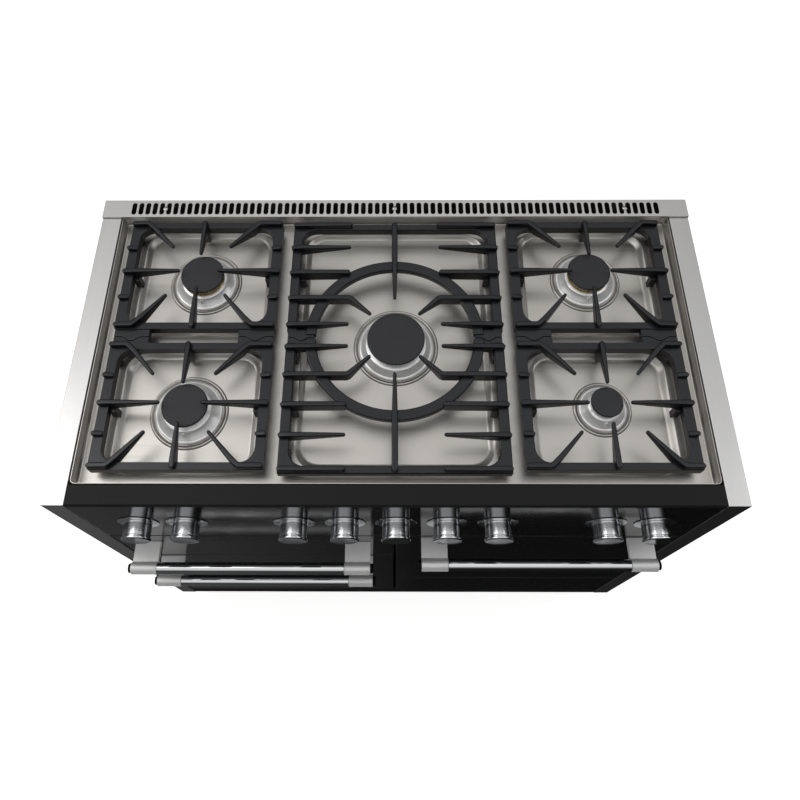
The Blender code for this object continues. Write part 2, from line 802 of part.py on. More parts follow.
bm = bmesh.new()
rail_y = 0.052
add_tube(bm, [(-0.200, rail_y, KNOB_Z), (INLET_X, rail_y, KNOB_Z), (INLET_X, DEPTH - 0.0002, INLET_Z)], 0.0085, 8)
rail = place("gas_rail", bm, BRASS)
bm = bmesh.new()
for x in KNOB_XS[2:7]:
    add_box(bm, x - 0.011, x + 0.011, 0.014, rail_y + 0.004, KNOB_Z - 0.013, KNOB_Z + 0.013)
add_turned(bm, [(0, 0), (0.0105, 0), (0.0105, 0.020), (0, 0.020)], 12, (INLET_X, DEPTH - 0.0001, INLET_Z), axis="y")
fuse(rail, place("gas_rail_taps", bm, BRASS, helper=True))

# ---------------------------------------------------------------- knobs

for name, x in zip(KNOB_NAMES, KNOB_XS):
    bm = bmesh.new()
    # radius, distance in front of the fascia
    profile = [
        (0, 0.0310),
        (0.0216, 0.0310),
        (0.0238, 0.0296),
        (0.0240, 0.0268),
        (0.0214, 0.0265),
        (0.0214, 0.0242),
        (0.0223, 0.0240),
        (0.0223, 0.0020),
        (0.0338, 0.0014),
        (0.0338, 0.0004),
        (0.0050, 0.0004),
        (0.0050, -0.0100),
        (0, -0.0100),
    ]
    add_turned(bm, profile, 18, (x, 0, KNOB_Z), axis="y")
    place(name, bm, SATIN_CHROME, (x, 0, KNOB_Z), smooth=True)

# ---------------------------------------------------------------- doors


def door(key, xs, zs, cavity):
    x0, x1 = xs
    z0, z1 = zs
    pivot = ((x0 + x1) / 2, HINGE, z0 + HINGE)
    bm = bmesh.new()
    add_box(bm, x0, x1, 0, DOOR_T, z0, z1)
    place(f"{key}_door_panel", bm, BLACK_GLOSS, pivot)
    ox0, ox1, oz0, oz1 = CAVITIES[cavity][:4]
    i, p, t = 0.003, 0.009, 0.0018
    y = DOOR_T + GAP
    bm = bmesh.new()
    add_rect_loft(
        bm,
        [
            (ox0 + p, ox1 - p, oz0 + p, oz1 - p, PLUG_Y),
            (ox0 + p, ox1 - p, oz0 + p, oz1 - p, LINER_Y),
            (x0 + i, x1 - i, z0 + i, z1 - i, LINER_Y),
            (x0 + i, x1 - i, z0 + i, z1 - i, y),
            (x0 + i + t, x1 - i - t, z0 + i + t, z1 - i - t, y),
            (x0 + i + t, x1 - i - t, z0 + i + t, z1 - i - t, LINER_Y - t),
            (ox0 + p + t, ox1 - p - t, oz0 + p + t, oz1 - p - t, LINER_Y - t),
            (ox0 + p + t, ox1 - p - t, oz0 + p + t, oz1 - p - t, PLUG_Y - t),
        ],
    )
    place(f"{key}_door_liner", bm, OVEN_ENAMEL, pivot)
    h0, h1, hz = HANDLES[key]
    h0, h1 = h0 + PLUG_L, h1 - PLUG_L
    # bracket outline in y, z: a flat arm that ends round the bar
    arm_top, arm_low, eye = 0.001, -0.007, EYE_R
    outline = [(-GAP, hz + arm_top)]
    first = math.asin(arm_top / eye)
    last = 2 * math.pi - math.asin(-arm_low / eye)
    steps = 12
    for k in range(steps + 1):
        angle = first + (last - first) * k / steps
        outline.append((-HANDLE_P + eye * math.cos(angle), hz + eye * math.sin(angle)))
    outline.append((-GAP, hz + arm_low))
    for end, a, b in (("left", h0, h0 + BRACKET_W), ("right", h1 - BRACKET_W, h1)):
        bm = bmesh.new()
        add_prism(bm, outline, a, b, axis="x")
        bracket = place(f"{key}_handle_bracket_{end}", bm, SATIN_CHROME, pivot)
        bm = bmesh.new()
        s = -1 if end == "left" else 1
        edge = a if end == "left" else b
        xs_plug = sorted((edge - s * 0.001, edge + s * PLUG_L))
        add_turned(
            bm,
            [(0, xs_plug[1] - xs_plug[0]), (0.0085, xs_plug[1] - xs_plug[0]), (0.0085, 0), (0, 0)],
            12,
            (xs_plug[0], -HANDLE_P, hz),
            axis="x",
        )
        fuse(bracket, place(f"{key}_handle_plug_{end}", bm, BLACK_SATIN, helper=True))
    bm = bmesh.new()
    a, b = h0 + BRACKET_W + GAP, h1 - BRACKET_W - GAP
    add_turned(
        bm,
        [(0, b - a), (HANDLE_R, b - a), (HANDLE_R, 0), (0, 0)],
        16,
        (a, -HANDLE_P, hz),
        axis="x",
    )
    place(f"{key}_handle_bar", bm, CHROME, pivot, smooth=True)


door("grill", LEFT_X, GRILL_Z, "grill_cavity")
door("left_oven", LEFT_X, LEFT_OVEN_Z, "left_oven_cavity")
door("right_oven", RIGHT_X, RIGHT_OVEN_Z, "right_oven_cavity")

bm = bmesh.new()
add_tray(bm, 0.020, 0.486, 0.010, 0.450, 0.124, 0.252, SHEET)
drawer = place("storage_drawer", bm, BLACK_GLOSS, (0.2525, 0, 0.194))
bm = bmesh.new()
add_box(bm, *RIGHT_X, 0, 0.0115, *DRAWER_Z)
fuse(drawer, place("storage_drawer_front", bm, BLACK_GLOSS, helper=True))

# ---------------------------------------------------------------- feet

for fy, row in zip(FOOT_YS, ("front", "rear")):
    for fx, word in zip(FOOT_XS, ("left", "right")):
        bm = bmesh.new()
        profile = [
            (0, BODY_Z - GAP),
            (0.0150, BODY_Z - GAP),
            (0.0150, BODY_Z - 0.012),
            (0.0070, BODY_Z - 0.013),
            (0.0070, 0.012),
            (0.0200, 0.009),
            (0.0220, 0.0),
            (0, 0.0),
        ]
        add_turned(bm, profile, 16, (fx, fy, 0))
        place(f"foot_{row}_{word}", bm, FOOT_STEEL, (fx, fy, 0), smooth=True)
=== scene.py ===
"""Looks of a freestanding gas range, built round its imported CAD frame.

Lengths in metres. The shapes below are measured from the middle of the front
face at floor level; piece() moves them back by Y0 into the frame of the CAD.
"""

import json
import math

import bmesh
import bpy
from mathutils import Matrix, Vector

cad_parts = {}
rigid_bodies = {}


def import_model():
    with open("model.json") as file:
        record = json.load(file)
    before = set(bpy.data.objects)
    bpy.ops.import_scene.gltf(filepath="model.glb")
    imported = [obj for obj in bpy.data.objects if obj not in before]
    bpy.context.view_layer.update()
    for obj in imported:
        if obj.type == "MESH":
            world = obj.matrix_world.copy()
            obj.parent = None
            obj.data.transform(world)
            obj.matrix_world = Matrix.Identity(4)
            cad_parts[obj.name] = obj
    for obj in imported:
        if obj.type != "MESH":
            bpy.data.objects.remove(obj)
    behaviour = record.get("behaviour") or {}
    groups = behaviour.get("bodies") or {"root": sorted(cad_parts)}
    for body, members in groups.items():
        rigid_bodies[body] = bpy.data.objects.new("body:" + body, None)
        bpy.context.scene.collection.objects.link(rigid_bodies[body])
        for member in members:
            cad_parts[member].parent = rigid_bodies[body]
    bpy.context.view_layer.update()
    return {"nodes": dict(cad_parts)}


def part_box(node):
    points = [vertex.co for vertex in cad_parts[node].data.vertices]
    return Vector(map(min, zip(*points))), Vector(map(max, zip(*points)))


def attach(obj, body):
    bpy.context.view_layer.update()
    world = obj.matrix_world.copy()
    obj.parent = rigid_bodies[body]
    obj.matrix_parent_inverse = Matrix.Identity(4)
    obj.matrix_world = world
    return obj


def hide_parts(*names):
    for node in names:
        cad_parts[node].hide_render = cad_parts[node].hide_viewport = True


for old in list(bpy.data.objects):
    bpy.data.objects.remove(old, do_unlink=True)

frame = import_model()
Y0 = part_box("front_rail")[0].y

# ---------------------------------------------------------------- dimensions
WIDTH, DEPTH, TOP = 1.082, 0.577, 0.905
PILLAR_W, BODY_Z, INNER_X, TRIM_Y = 0.035, 0.058, 0.5055, 0.539
RAIL_D, RAIL_H = 0.034, 0.0068
FASCIA_TOP, FASCIA_BOT, FASCIA_T = TOP - 0.0075, TOP - 0.200, 0.003
TRAY_Z = TOP - 0.028
WELL_Z = TRAY_Z - 0.008
HANDLE_P, HANDLE_R, EYE_R = 0.048, 0.0105, 0.0111
KNOB_Z = TOP - 0.103
KNOBS = {
    "knob_grill": -0.4222,
    "knob_left_oven": -0.3424,
    "knob_burner_left_rear": -0.1656,
    "knob_burner_left_front": -0.0818,
    "knob_burner_centre": 0.002,
    "knob_burner_right_front": 0.0858,
    "knob_burner_right_rear": 0.1696,
    "knob_right_oven": 0.3464,
    "knob_right_oven_function": 0.4262,
}
# x, y, cap radius, dish radius, outer radius of the ring pressed in the tray
BURNERS = {
    "left_rear": (-0.342, 0.417, 0.038, 0.0545, 0.0645),
    "left_front": (-0.342, 0.166, 0.0378, 0.0555, 0.0655),
    "centre": (0.002, 0.288, 0.049, 0.0635, 0.0735),
    "right_rear": (0.345, 0.422, 0.0375, 0.0530, 0.0630),
    "right_front": (0.345, 0.172, 0.0262, 0.0395, 0.0490),
}
WELLS = {
    "left_rear": (-0.341, 0.417, 0.115, 0.107),
    "left_front": (-0.342, 0.166, 0.113, 0.107),
    "centre": (0.0, 0.2945, 0.160, 0.2255),
    "right_rear": (0.342, 0.417, 0.113, 0.107),
    "right_front": (0.342, 0.166, 0.113, 0.107),
}
BURNER_HOLE = 0.74
GRATE_TOP, GRATE_RAIL_TOP, GRATE_RAIL_BOT = TOP + 0.014, TOP + 0.004, TOP - 0.012
GRATE_X = (0.204, 0.4795)
GRATE_REAR_Y, GRATE_FRONT_Y = (0.304, 0.5255), (0.0555, 0.2775)
GRATE_SPLIT_Y, GRATE_BURNER_X = 0.2905, 0.346
CENTRE_GRATE_X, CENTRE_GRATE_Y, CENTRE_SPLIT_Y = 0.1835, (0.050, 0.5215), 0.2885
REAR_ROWS = (0.3095, 0.3615, 0.4135, 0.4660)
FRONT_ROWS = (0.2675, 0.2160, 0.1630, 0.1110)
RING = (0.133, 0.1515)
RAIL_SIDE, RAIL_END = 0.0165, 0.0125
FINGER_W, TIP_W = 0.0088, 0.0058
TIP_LOW, ROOT_LOW, SINK = GRATE_TOP - 0.006, GRATE_RAIL_TOP - 0.011, GRATE_RAIL_TOP - 0.004
LEFT_X, RIGHT_X = (-0.5025, -0.0025), (0.0025, 0.5025)
DOORS = {
    "grill": (LEFT_X, (0.537, 0.700)),
    "left_oven": (LEFT_X, (0.114, 0.533)),
    "right_oven": (RIGHT_X, (0.278, 0.700)),
}
DRAWER_Z = (0.114, 0.274)
DOOR_T = 0.004
HANDLES = {
    "grill": (-0.478, -0.038, TOP - 0.249),
    "left_oven": (-0.468, -0.037, TOP - 0.380),
    "right_oven": (0.041, 0.464, TOP - 0.213),
}
PLUG_L, BRACKET_W, GAP = 0.006, 0.046, 0.0003
SLOTS, SLOT_PITCH, SLOT_W, SLOT_Y = 76, 0.0129, 0.0090, (0.5440, 0.5705)
TRIM_RISE, TRIM_SCREWS = 0.0045, (-0.4257, 0.0, 0.4257)
FEET = {
    "front_left": (-0.5, 0.05),
    "front_right": (0.5, 0.05),
    "rear_left": (-0.5, 0.53),
    "rear_right": (0.5, 0.53),
}

# ---------------------------------------------------------------- materials


class Look:
    """A material whose colour, roughness and relief come from procedural nodes."""

    def __init__(self, name, colour, roughness, metallic=0.0, **fixed):
        self.made = bpy.data.materials.new(name)
        self.made.use_nodes = True
        self.made.diffuse_color = (*colour, 1)
        self.tree = self.made.node_tree
        self.shader = self.tree.nodes["Principled BSDF"]
        self.put("Base Color", (*colour, 1))
        self.put("Roughness", roughness)
        self.put("Metallic", metallic)
        for key, value in fixed.items():
            self.put(key.replace("_", " "), value)
        self.colour = colour
        self.height = None

    def put(self, socket, value):
        self.shader.inputs[socket].default_value = value

    def node(self, kind, **settings):
        made = self.tree.nodes.new(kind)
        for key, value in settings.items():
            setattr(made, key, value)
        return made

    def link(self, out, into):
        self.tree.links.new(out, into)

    def noise(self, stretch, detail=3.0, roughness=0.55, distortion=0.0):
        """Noise over the piece's own coordinates, with a frequency per metre along each axis."""
        where = self.node("ShaderNodeTexCoord")
        scaled = self.node("ShaderNodeMapping")
        scaled.inputs["Scale"].default_value = stretch
        self.link(where.outputs["Object"], scaled.inputs["Vector"])
        made = self.node("ShaderNodeTexNoise")
        made.inputs["Scale"].default_value = 1.0
        made.inputs["Detail"].default_value = detail
        made.inputs["Roughness"].default_value = roughness
        made.inputs["Distortion"].default_value = distortion
        self.link(scaled.outputs["Vector"], made.inputs["Vector"])
        return made.outputs["Fac"]

    def cells(self, scale, feature="F1"):
        where = self.node("ShaderNodeTexCoord")
        made = self.node("ShaderNodeTexVoronoi", feature=feature)
        made.inputs["Scale"].default_value = scale
        self.link(where.outputs["Object"], made.inputs["Vector"])
        return made

    def rings(self, scale, direction):
        where = self.node("ShaderNodeTexCoord")
        made = self.node("ShaderNodeTexWave", wave_type="RINGS", rings_direction=direction)
        made.inputs["Scale"].default_value = scale
        made.inputs["Distortion"].default_value = 0.6
        made.inputs["Detail"].default_value = 1.0
        self.link(where.outputs["Object"], made.inputs["Vector"])
        return made.outputs["Fac"]

    def spread(self, value, low, high, start=0.3, end=0.7):
        made = self.node("ShaderNodeMapRange")
        made.inputs["From Min"].default_value = start
        made.inputs["From Max"].default_value = end
        made.inputs["To Min"].default_value = low
        made.inputs["To Max"].default_value = high
        self.link(value, made.inputs["Value"])
        return made.outputs["Result"]

    def tint(self, value, low, high, start=0.3, end=0.7, base=None):
        """Colour between two tints, as the value goes from start to end, over a base colour or a colour so far."""
        made = self.node("ShaderNodeValToRGB")
        stops = made.color_ramp.elements
        stops[0].position, stops[0].color = start, (*low, 1)
        stops[1].position, stops[1].color = end, (*high, 1)
        self.link(value, made.inputs["Fac"])
        if base is None:
            return made.outputs["Color"]
        mixed = self.node("ShaderNodeMix", data_type="RGBA", blend_type="MULTIPLY")
        mixed.inputs["Factor"].default_value = 1.0
        self.link(base, mixed.inputs[6])
        self.link(made.outputs["Color"], mixed.inputs[7])
        return mixed.outputs[2]

    def paint(self, colour):
        self.link(colour, self.shader.inputs["Base Color"])

    def rough(self, value):
        self.link(value, self.shader.inputs["Roughness"])

    def relief(self, value, strength, distance):
        made = self.node("ShaderNodeBump")
        made.inputs["Strength"].default_value = strength
        made.inputs["Distance"].default_value = distance
        self.link(value, made.inputs["Height"])
        if self.height is not None:
            self.link(self.height, made.inputs["Normal"])
        self.height = made.outputs["Normal"]
        self.link(self.height, self.shader.inputs["Normal"])


def scaled(colour, share):
    return tuple(c * share for c in colour)


def brushed(name, colour, roughness, grain, low=0.93, high=1.05, relief=0.10):
    """Brushed metal, with its grain along the axis of the lowest frequency."""
    look = Look(name, colour, roughness, 1.0)
    streaks = look.noise(grain, 4.0, 0.6)
    cloud = look.noise((3.5, 3.5, 3.5), 2.0)
    base = look.tint(streaks, scaled(colour, low), scaled(colour, high))
    look.paint(look.tint(cloud, (0.96, 0.955, 0.95), (1, 1, 1), base=base))
    look.rough(look.spread(streaks, roughness - 0.05, roughness + 0.07))
    look.relief(streaks, relief, 0.0002)
    return look


steel_x = brushed("stainless_tray", (0.63, 0.61, 0.58), 0.38, (4, 500, 500), 0.985, 1.01, relief=0.025)
steel_y = brushed("stainless_pillar", (0.70, 0.695, 0.70), 0.36, (900, 4, 900), 0.975, 1.015, relief=0.03)
steel_trim = brushed("stainless_trim", (0.72, 0.71, 0.71), 0.34, (4, 900, 900), 0.975, 1.015, relief=0.03)

black = Look("gloss_black_enamel", (0.0035, 0.0035, 0.004), 0.08, IOR=1.6)
wave = black.noise((2.0, 2.0, 2.0), 1.0)
smear = black.noise((18, 18, 18), 3.0)
dust = black.noise((260, 260, 260), 2.0)
black.paint(black.tint(dust, (0.003, 0.003, 0.0034), (0.0045, 0.0045, 0.005)))
black.rough(black.spread(smear, 0.10, 0.15))
black.relief(wave, 0.05, 0.002)

satin = Look("satin_black", (0.012, 0.012, 0.0125), 0.5, Specular_IOR_Level=0.2)
streak = satin.noise((6, 800, 800), 3.0)
satin.paint(satin.tint(streak, (0.008, 0.008, 0.0082), (0.011, 0.011, 0.0112)))
satin.rough(satin.spread(streak, 0.44, 0.56))
satin.relief(streak, 0.06, 0.0002)

iron = Look("cast_iron_enamel", (0.010, 0.0106, 0.0150), 0.32, Specular_IOR_Level=0.45)
grit = iron.noise((900, 900, 900), 4.0, 0.6)
orange = iron.noise((170, 170, 170), 2.0)
cloud = iron.noise((12, 12, 12), 2.0)
# the upward facing of each face; it drives the roughness and also the painted light and shade on the bars
facing = iron.node("ShaderNodeSeparateXYZ")
iron.link(iron.node("ShaderNodeNewGeometry").outputs["True Normal"], facing.inputs[0])
base = iron.tint(grit, (0.85, 0.85, 0.85), (1, 1, 1))
# painted light and shade: from the normal's Z, the tops of the bars are painted a lighter blue-grey and the sides
# near-black
base = iron.tint(facing.outputs["Z"], (0.0026, 0.0027, 0.0034), (0.0130, 0.0142, 0.0210), 0.55, 0.95, base=base)
iron.paint(iron.tint(cloud, (0.88, 0.88, 0.90), (1, 1, 1), base=base))
iron.rough(iron.spread(facing.outputs["Z"], 0.42, 0.29, 0.5, 0.95))
iron.relief(orange, 0.14, 0.0006)
iron.relief(grit, 0.16, 0.0002)

cap_look = Look("cap_enamel", (0.020, 0.020, 0.0235), 0.55)
grit = cap_look.noise((1300, 1300, 1300), 3.0, 0.6)
cloud = cap_look.noise((40, 40, 40), 2.0)
base = cap_look.tint(grit, (0.019, 0.0193, 0.0228), (0.026, 0.0264, 0.0312))
cap_look.paint(cap_look.tint(cloud, (0.9, 0.9, 0.9), (1.05, 1.05, 1.05), base=base))
cap_look.rough(cap_look.spread(grit, 0.50, 0.62))
cap_look.relief(grit, 0.2, 0.0002)

alu = Look("turned_aluminium", (0.93, 0.93, 0.94), 0.40, 0.60)
turned = alu.rings(260, "Z")
fine = alu.noise((1500, 1500, 1500), 2.0)
alu.paint(alu.tint(turned, (0.91, 0.91, 0.92), (0.96, 0.96, 0.97), 0.1, 0.9))
alu.rough(alu.spread(fine, 0.34, 0.42))
alu.relief(turned, 0.05, 0.0002)

brass_look = Look("brass_ring", (0.72, 0.50, 0.20), 0.3, 1.0)
tarnish = brass_look.noise((300, 300, 300), 3.0)
brass_look.paint(brass_look.tint(tarnish, (0.55, 0.36, 0.14), (0.80, 0.58, 0.26)))
brass_look.rough(brass_look.spread(tarnish, 0.24, 0.42))

ceramic = Look("igniter_ceramic", (0.80, 0.78, 0.74), 0.35)
speck = ceramic.noise((900, 900, 900), 3.0)
ceramic.paint(ceramic.tint(speck, (0.72, 0.70, 0.66), (0.86, 0.85, 0.82)))
ceramic.rough(ceramic.spread(speck, 0.28, 0.45))

chrome = Look("chrome_bar", (0.80, 0.81, 0.83), 0.07, 1.0)
haze = chrome.noise((9, 60, 60), 2.0)
chrome.paint(chrome.tint(haze, (0.76, 0.77, 0.79), (0.84, 0.85, 0.87)))
chrome.rough(chrome.spread(haze, 0.05, 0.10))

satin_chrome = brushed("satin_bracket", (0.95, 0.955, 0.96), 0.45, (8, 1400, 1400), 0.98, 1.0, relief=0.03)
satin_chrome.put("Metallic", 0.55)

knob_look = Look("knob_satin", (0.72, 0.73, 0.76), 0.17, 1.0)
lathe = knob_look.noise((0.1, 1600, 0.1), 3.0)
haze = knob_look.noise((80, 80, 80), 2.0)
knob_look.paint(knob_look.tint(lathe, (0.66, 0.67, 0.70), (0.78, 0.79, 0.82)))
knob_look.rough(knob_look.spread(haze, 0.13, 0.22))
knob_look.relief(lathe, 0.05, 0.0001)

face_look = Look("knob_face", (0.30, 0.30, 0.31), 0.30, 1.0)
spun = face_look.rings(500, "Y")
fine = face_look.noise((1400, 1400, 1400), 2.0)
face_look.paint(face_look.tint(spun, (0.26, 0.26, 0.27), (0.36, 0.36, 0.37), 0.1, 0.9))
face_look.rough(face_look.spread(fine, 0.26, 0.38))
face_look.relief(spun, 0.12, 0.0002)

groove_look = Look("knob_groove", (0.004, 0.004, 0.004), 0.45, Specular_IOR_Level=0.15)
grit = groove_look.noise((900, 900, 900), 2.0)
groove_look.paint(groove_look.tint(grit, (0.003, 0.003, 0.003), (0.005, 0.005, 0.005)))
groove_look.rough(groove_look.spread(grit, 0.38, 0.52))

enamel = Look("oven_enamel", (0.022, 0.023, 0.028), 0.22, Coat_Weight=0.3)
fleck = enamel.cells(420)
orange = enamel.noise((160, 160, 160), 2.0)
spots = enamel.tint(fleck.outputs["Distance"], (0.20, 0.20, 0.22), (0.018, 0.019, 0.024), 0.06, 0.14)
enamel.paint(spots)
enamel.rough(enamel.spread(orange, 0.16, 0.30))
enamel.relief(orange, 0.12, 0.0005)

zinc = Look("galvanised_sheet", (0.45, 0.46, 0.47), 0.42, 1.0)
spangle = zinc.cells(70)
grit = zinc.noise((500, 500, 500), 3.0)
tone = zinc.node("ShaderNodeSeparateColor")
zinc.link(spangle.outputs["Color"], tone.inputs["Color"])
base = zinc.tint(tone.outputs[0], (0.36, 0.37, 0.385), (0.55, 0.56, 0.57), 0.0, 1.0)
zinc.paint(zinc.tint(grit, (0.92, 0.92, 0.92), (1, 1, 1), base=base))
zinc.rough(zinc.spread(tone.outputs[1], 0.34, 0.52, 0.0, 1.0))

foot_look = Look("zinc_plated_foot", (0.40, 0.40, 0.41), 0.38, 1.0)
grit = foot_look.noise((400, 400, 400), 3.0)
foot_look.paint(foot_look.tint(grit, (0.33, 0.33, 0.34), (0.47, 0.47, 0.48)))
foot_look.rough(foot_look.spread(grit, 0.30, 0.48))

rack_look = Look("rack_chrome", (0.72, 0.72, 0.73), 0.14, 1.0)
haze = rack_look.noise((120, 120, 120), 2.0)
rack_look.paint(rack_look.tint(haze, (0.64, 0.64, 0.65), (0.78, 0.78, 0.79)))
rack_look.rough(rack_look.spread(haze, 0.10, 0.20))

screw_look = Look("screw_steel", (0.55, 0.55, 0.55), 0.30, 1.0)
spun = screw_look.noise((700, 700, 700), 2.0)
screw_look.paint(screw_look.tint(spun, (0.48, 0.48, 0.48), (0.62, 0.62, 0.62)))
screw_look.rough(screw_look.spread(spun, 0.24, 0.38))

# ---------------------------------------------------------------- mesh helpers


def loft(bm, rings, closed_ends=True, material=None):
    """Joins loops of points, each with as many as the last, or with a single one."""
    made = [[bm.verts.new(p) for p in ring] for ring in rings]
    faces = []
    for one, two in zip(made, made[1:]):
        count = max(len(one), len(two))
        for i in range(count):
            j = (i + 1) % count
            kept = []
            for v in (one[i % len(one)], one[j % len(one)], two[j % len(two)], two[i % len(two)]):
                if v not in kept:
                    kept.append(v)
            if len(kept) > 2:
                faces.append(bm.faces.new(kept))
    if closed_ends:
        for ring in (made[0], made[-1]):
            if len(ring) > 2:
                faces.append(bm.faces.new(ring))
    return faces


def turned(bm, profile, segments, centre=(0, 0, 0), axis="z", material_of=None):
    """Turns (radius, height) points. material_of gives each band's material index."""
    middle = Vector(centre)

    def ring(radius, height):
        if radius == 0:
            flat = [(0.0, 0.0)]
        else:
            flat = [
                (
                    radius * math.cos(2 * math.pi * i / segments),
                    radius * math.sin(2 * math.pi * i / segments),
                )
                for i in range(segments)
            ]
        if axis == "y":  # heights run towards -y
            return [middle + Vector((a, -height, b)) for a, b in flat]
        if axis == "x":
            return [middle + Vector((height, a, b)) for a, b in flat]
        return [middle + Vector((a, b, height)) for a, b in flat]

    rings = [[bm.verts.new(p) for p in ring(*point)] for point in profile]
    for band, (one, two) in enumerate(zip(rings, rings[1:])):
        for i in range(segments):
            j = (i + 1) % segments
            kept = []
            for v in (one[i % len(one)], one[j % len(one)], two[j % len(two)], two[i % len(two)]):
                if v not in kept:
                    kept.append(v)
            if len(kept) > 2:
                face = bm.faces.new(kept)
                if material_of:
                    face.material_index = material_of(band)


def arc(cx, cy, radius, start, end, steps):
    return [
        (
            cx + radius * math.cos(math.radians(start + (end - start) * i / steps)),
            cy + radius * math.sin(math.radians(start + (end - start) * i / steps)),
        )
        for i in range(steps + 1)
    ]


def rounded(cx, cy, hx, hy, radius, steps=8):
    points = []
    for sx, sy, start in ((1, 1, 0), (-1, 1, 90), (-1, -1, 180), (1, -1, 270)):
        points += arc(cx + sx * (hx - radius), cy + sy * (hy - radius), radius, start, start + 90, steps)
    return points


def circle(cx, cy, radius, segments):
    return arc(cx, cy, radius, 0, 360 * (segments - 1) / segments, segments - 1)


def prism(bm, outline, low, high, axis="z", holes=()):
    """Extrudes a closed outline, with holes, from low to high along one axis."""

    def at(u, v, w):
        return {"z": (u, v, w), "y": (u, w, v), "x": (w, u, v)}[axis]

    edges = []
    for loop in (outline, *holes):
        verts = [bm.verts.new(at(u, v, low)) for u, v in loop]
        edges += [bm.edges.new((a, b)) for a, b in zip(verts, verts[1:] + verts[:1])]
    if holes:
        faces = bmesh.ops.triangle_fill(bm, use_beauty=True, edges=edges)["geom"]
        faces = [f for f in faces if isinstance(f, bmesh.types.BMFace)]
    else:
        faces = [bm.faces.new(verts)]
    grown = bmesh.ops.extrude_face_region(bm, geom=faces, use_keep_orig=True)["geom"]
    shift = Vector(at(0, 0, high - low))
    bmesh.ops.translate(bm, vec=shift, verts=[v for v in grown if isinstance(v, bmesh.types.BMVert)])


def box(bm, x0, x1, y0, y1, z0, z1):
    size = Matrix.Diagonal((x1 - x0, y1 - y0, z1 - z0, 1))
    middle = Matrix.Translation(((x0 + x1) / 2, (y0 + y1) / 2, (z0 + z1) / 2))
    bmesh.ops.create_cube(bm, size=1, matrix=middle @ size)


def mesh_of(bm, name):
    bmesh.ops.recalc_face_normals(bm, faces=bm.faces)
    mesh = bpy.data.meshes.new(name)
    bm.to_mesh(mesh)
    bm.free()
    return mesh


def evaluated(obj):
    """The object's mesh with its modifiers applied; the object is removed."""
    bpy.context.view_layer.update()
    graph = bpy.context.evaluated_depsgraph_get()
    mesh = bpy.data.meshes.new_from_object(obj.evaluated_get(graph))
    bpy.data.objects.remove(obj)
    return mesh


def temporary(mesh):
    obj = bpy.data.objects.new("temporary", mesh)
    bpy.context.scene.collection.objects.link(obj)
    return obj


def bevelled(bm, width, segments=3, angle=35):
    obj = temporary(mesh_of(bm, "shape"))
    edge = obj.modifiers.new("edge", "BEVEL")
    edge.width, edge.segments = width, segments
    edge.limit_method, edge.angle_limit = "ANGLE", math.radians(angle)
    edge.use_clamp_overlap = True
    return evaluated(obj)


def union(base, parts):
    """One closed mesh from closed meshes that overlap."""
    obj = temporary(base)
    helpers = []
    for part in parts:
        helper = temporary(part)
        helper.hide_render = True
        join = obj.modifiers.new("join", "BOOLEAN")
        join.operation, join.solver, join.object = "UNION", "MANIFOLD", helper
        helpers.append(helper)
    mesh = evaluated(obj)
    for helper in helpers:
        bpy.data.objects.remove(helper)
    return mesh


def put(name, mesh, looks, body, stands_for=(), slot=None, angle=38, bevel=0.0, segments=3, pivot=None, flat=False, even=True):
    """Makes a piece of the range from a mesh measured from the front face."""
    looks = looks if isinstance(looks, (list, tuple)) else [looks]
    at = Vector(pivot) if pivot else Vector((0, 0, 0))
    mesh.transform(Matrix.Translation(-at))
    mesh.materials.clear()
    for look in looks:
        mesh.materials.append(look.made)
    obj = bpy.data.objects.new(name, mesh)
    bpy.context.scene.collection.objects.link(obj)
    obj.location = at + Vector((0, Y0, 0))
    if not flat:
        mesh.shade_smooth()
        if not bevel:
            mesh.set_sharp_from_angle(angle=math.radians(angle))
    if bevel:
        edge = obj.modifiers.new("edge", "BEVEL")
        edge.width, edge.segments = bevel, segments
        edge.limit_method, edge.angle_limit = "ANGLE", math.radians(32)
    if even and not flat:
        smooth = obj.modifiers.new("even", "WEIGHTED_NORMAL")
        smooth.keep_sharp = True
    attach(obj, body)
    if stands_for:
        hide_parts(*stands_for)
    return obj


def piece(name, bm, looks, body, **settings):
    return put(name, mesh_of(bm, name), looks, body, **settings)


# ---------------------------------------------------------------- body panels

for side, word in ((-1, "left"), (1, "right")):
    outer, inner = side * WIDTH / 2, side * (WIDTH / 2 - PILLAR_W)
    a, b = min(outer, inner), max(outer, inner)
    step = TOP - 0.0023
    bm = bmesh.new()
    outline = [
        (0, BODY_Z),
        (DEPTH, BODY_Z),
        (DEPTH, step),
        (TRIM_Y - GAP, step),
        (TRIM_Y - GAP, TOP),
        (0, TOP),
    ]
    prism(bm, outline, a, b, axis="x")
    shell = bevelled(bm, 0.0011, 3)
    hollow = bmesh.new()
    xs = sorted((outer - side * 0.002, inner - side * 0.01))
    box(hollow, *xs, 0.002, DEPTH - 0.002, BODY_Z + 0.002, TOP - 0.008)
    cutter = temporary(mesh_of(hollow, "hollow"))
    cutter.hide_render = True
    panel = temporary(shell)
    bite = panel.modifiers.new("bite", "BOOLEAN")
    bite.operation, bite.solver, bite.object = "DIFFERENCE", "EXACT", cutter
    mesh = evaluated(panel)
    bpy.data.objects.remove(cutter)
    put(f"panel_{word}", mesh, steel_y, "range_body", stands_for=[f"side_panel_{word}"], slot="stainless")

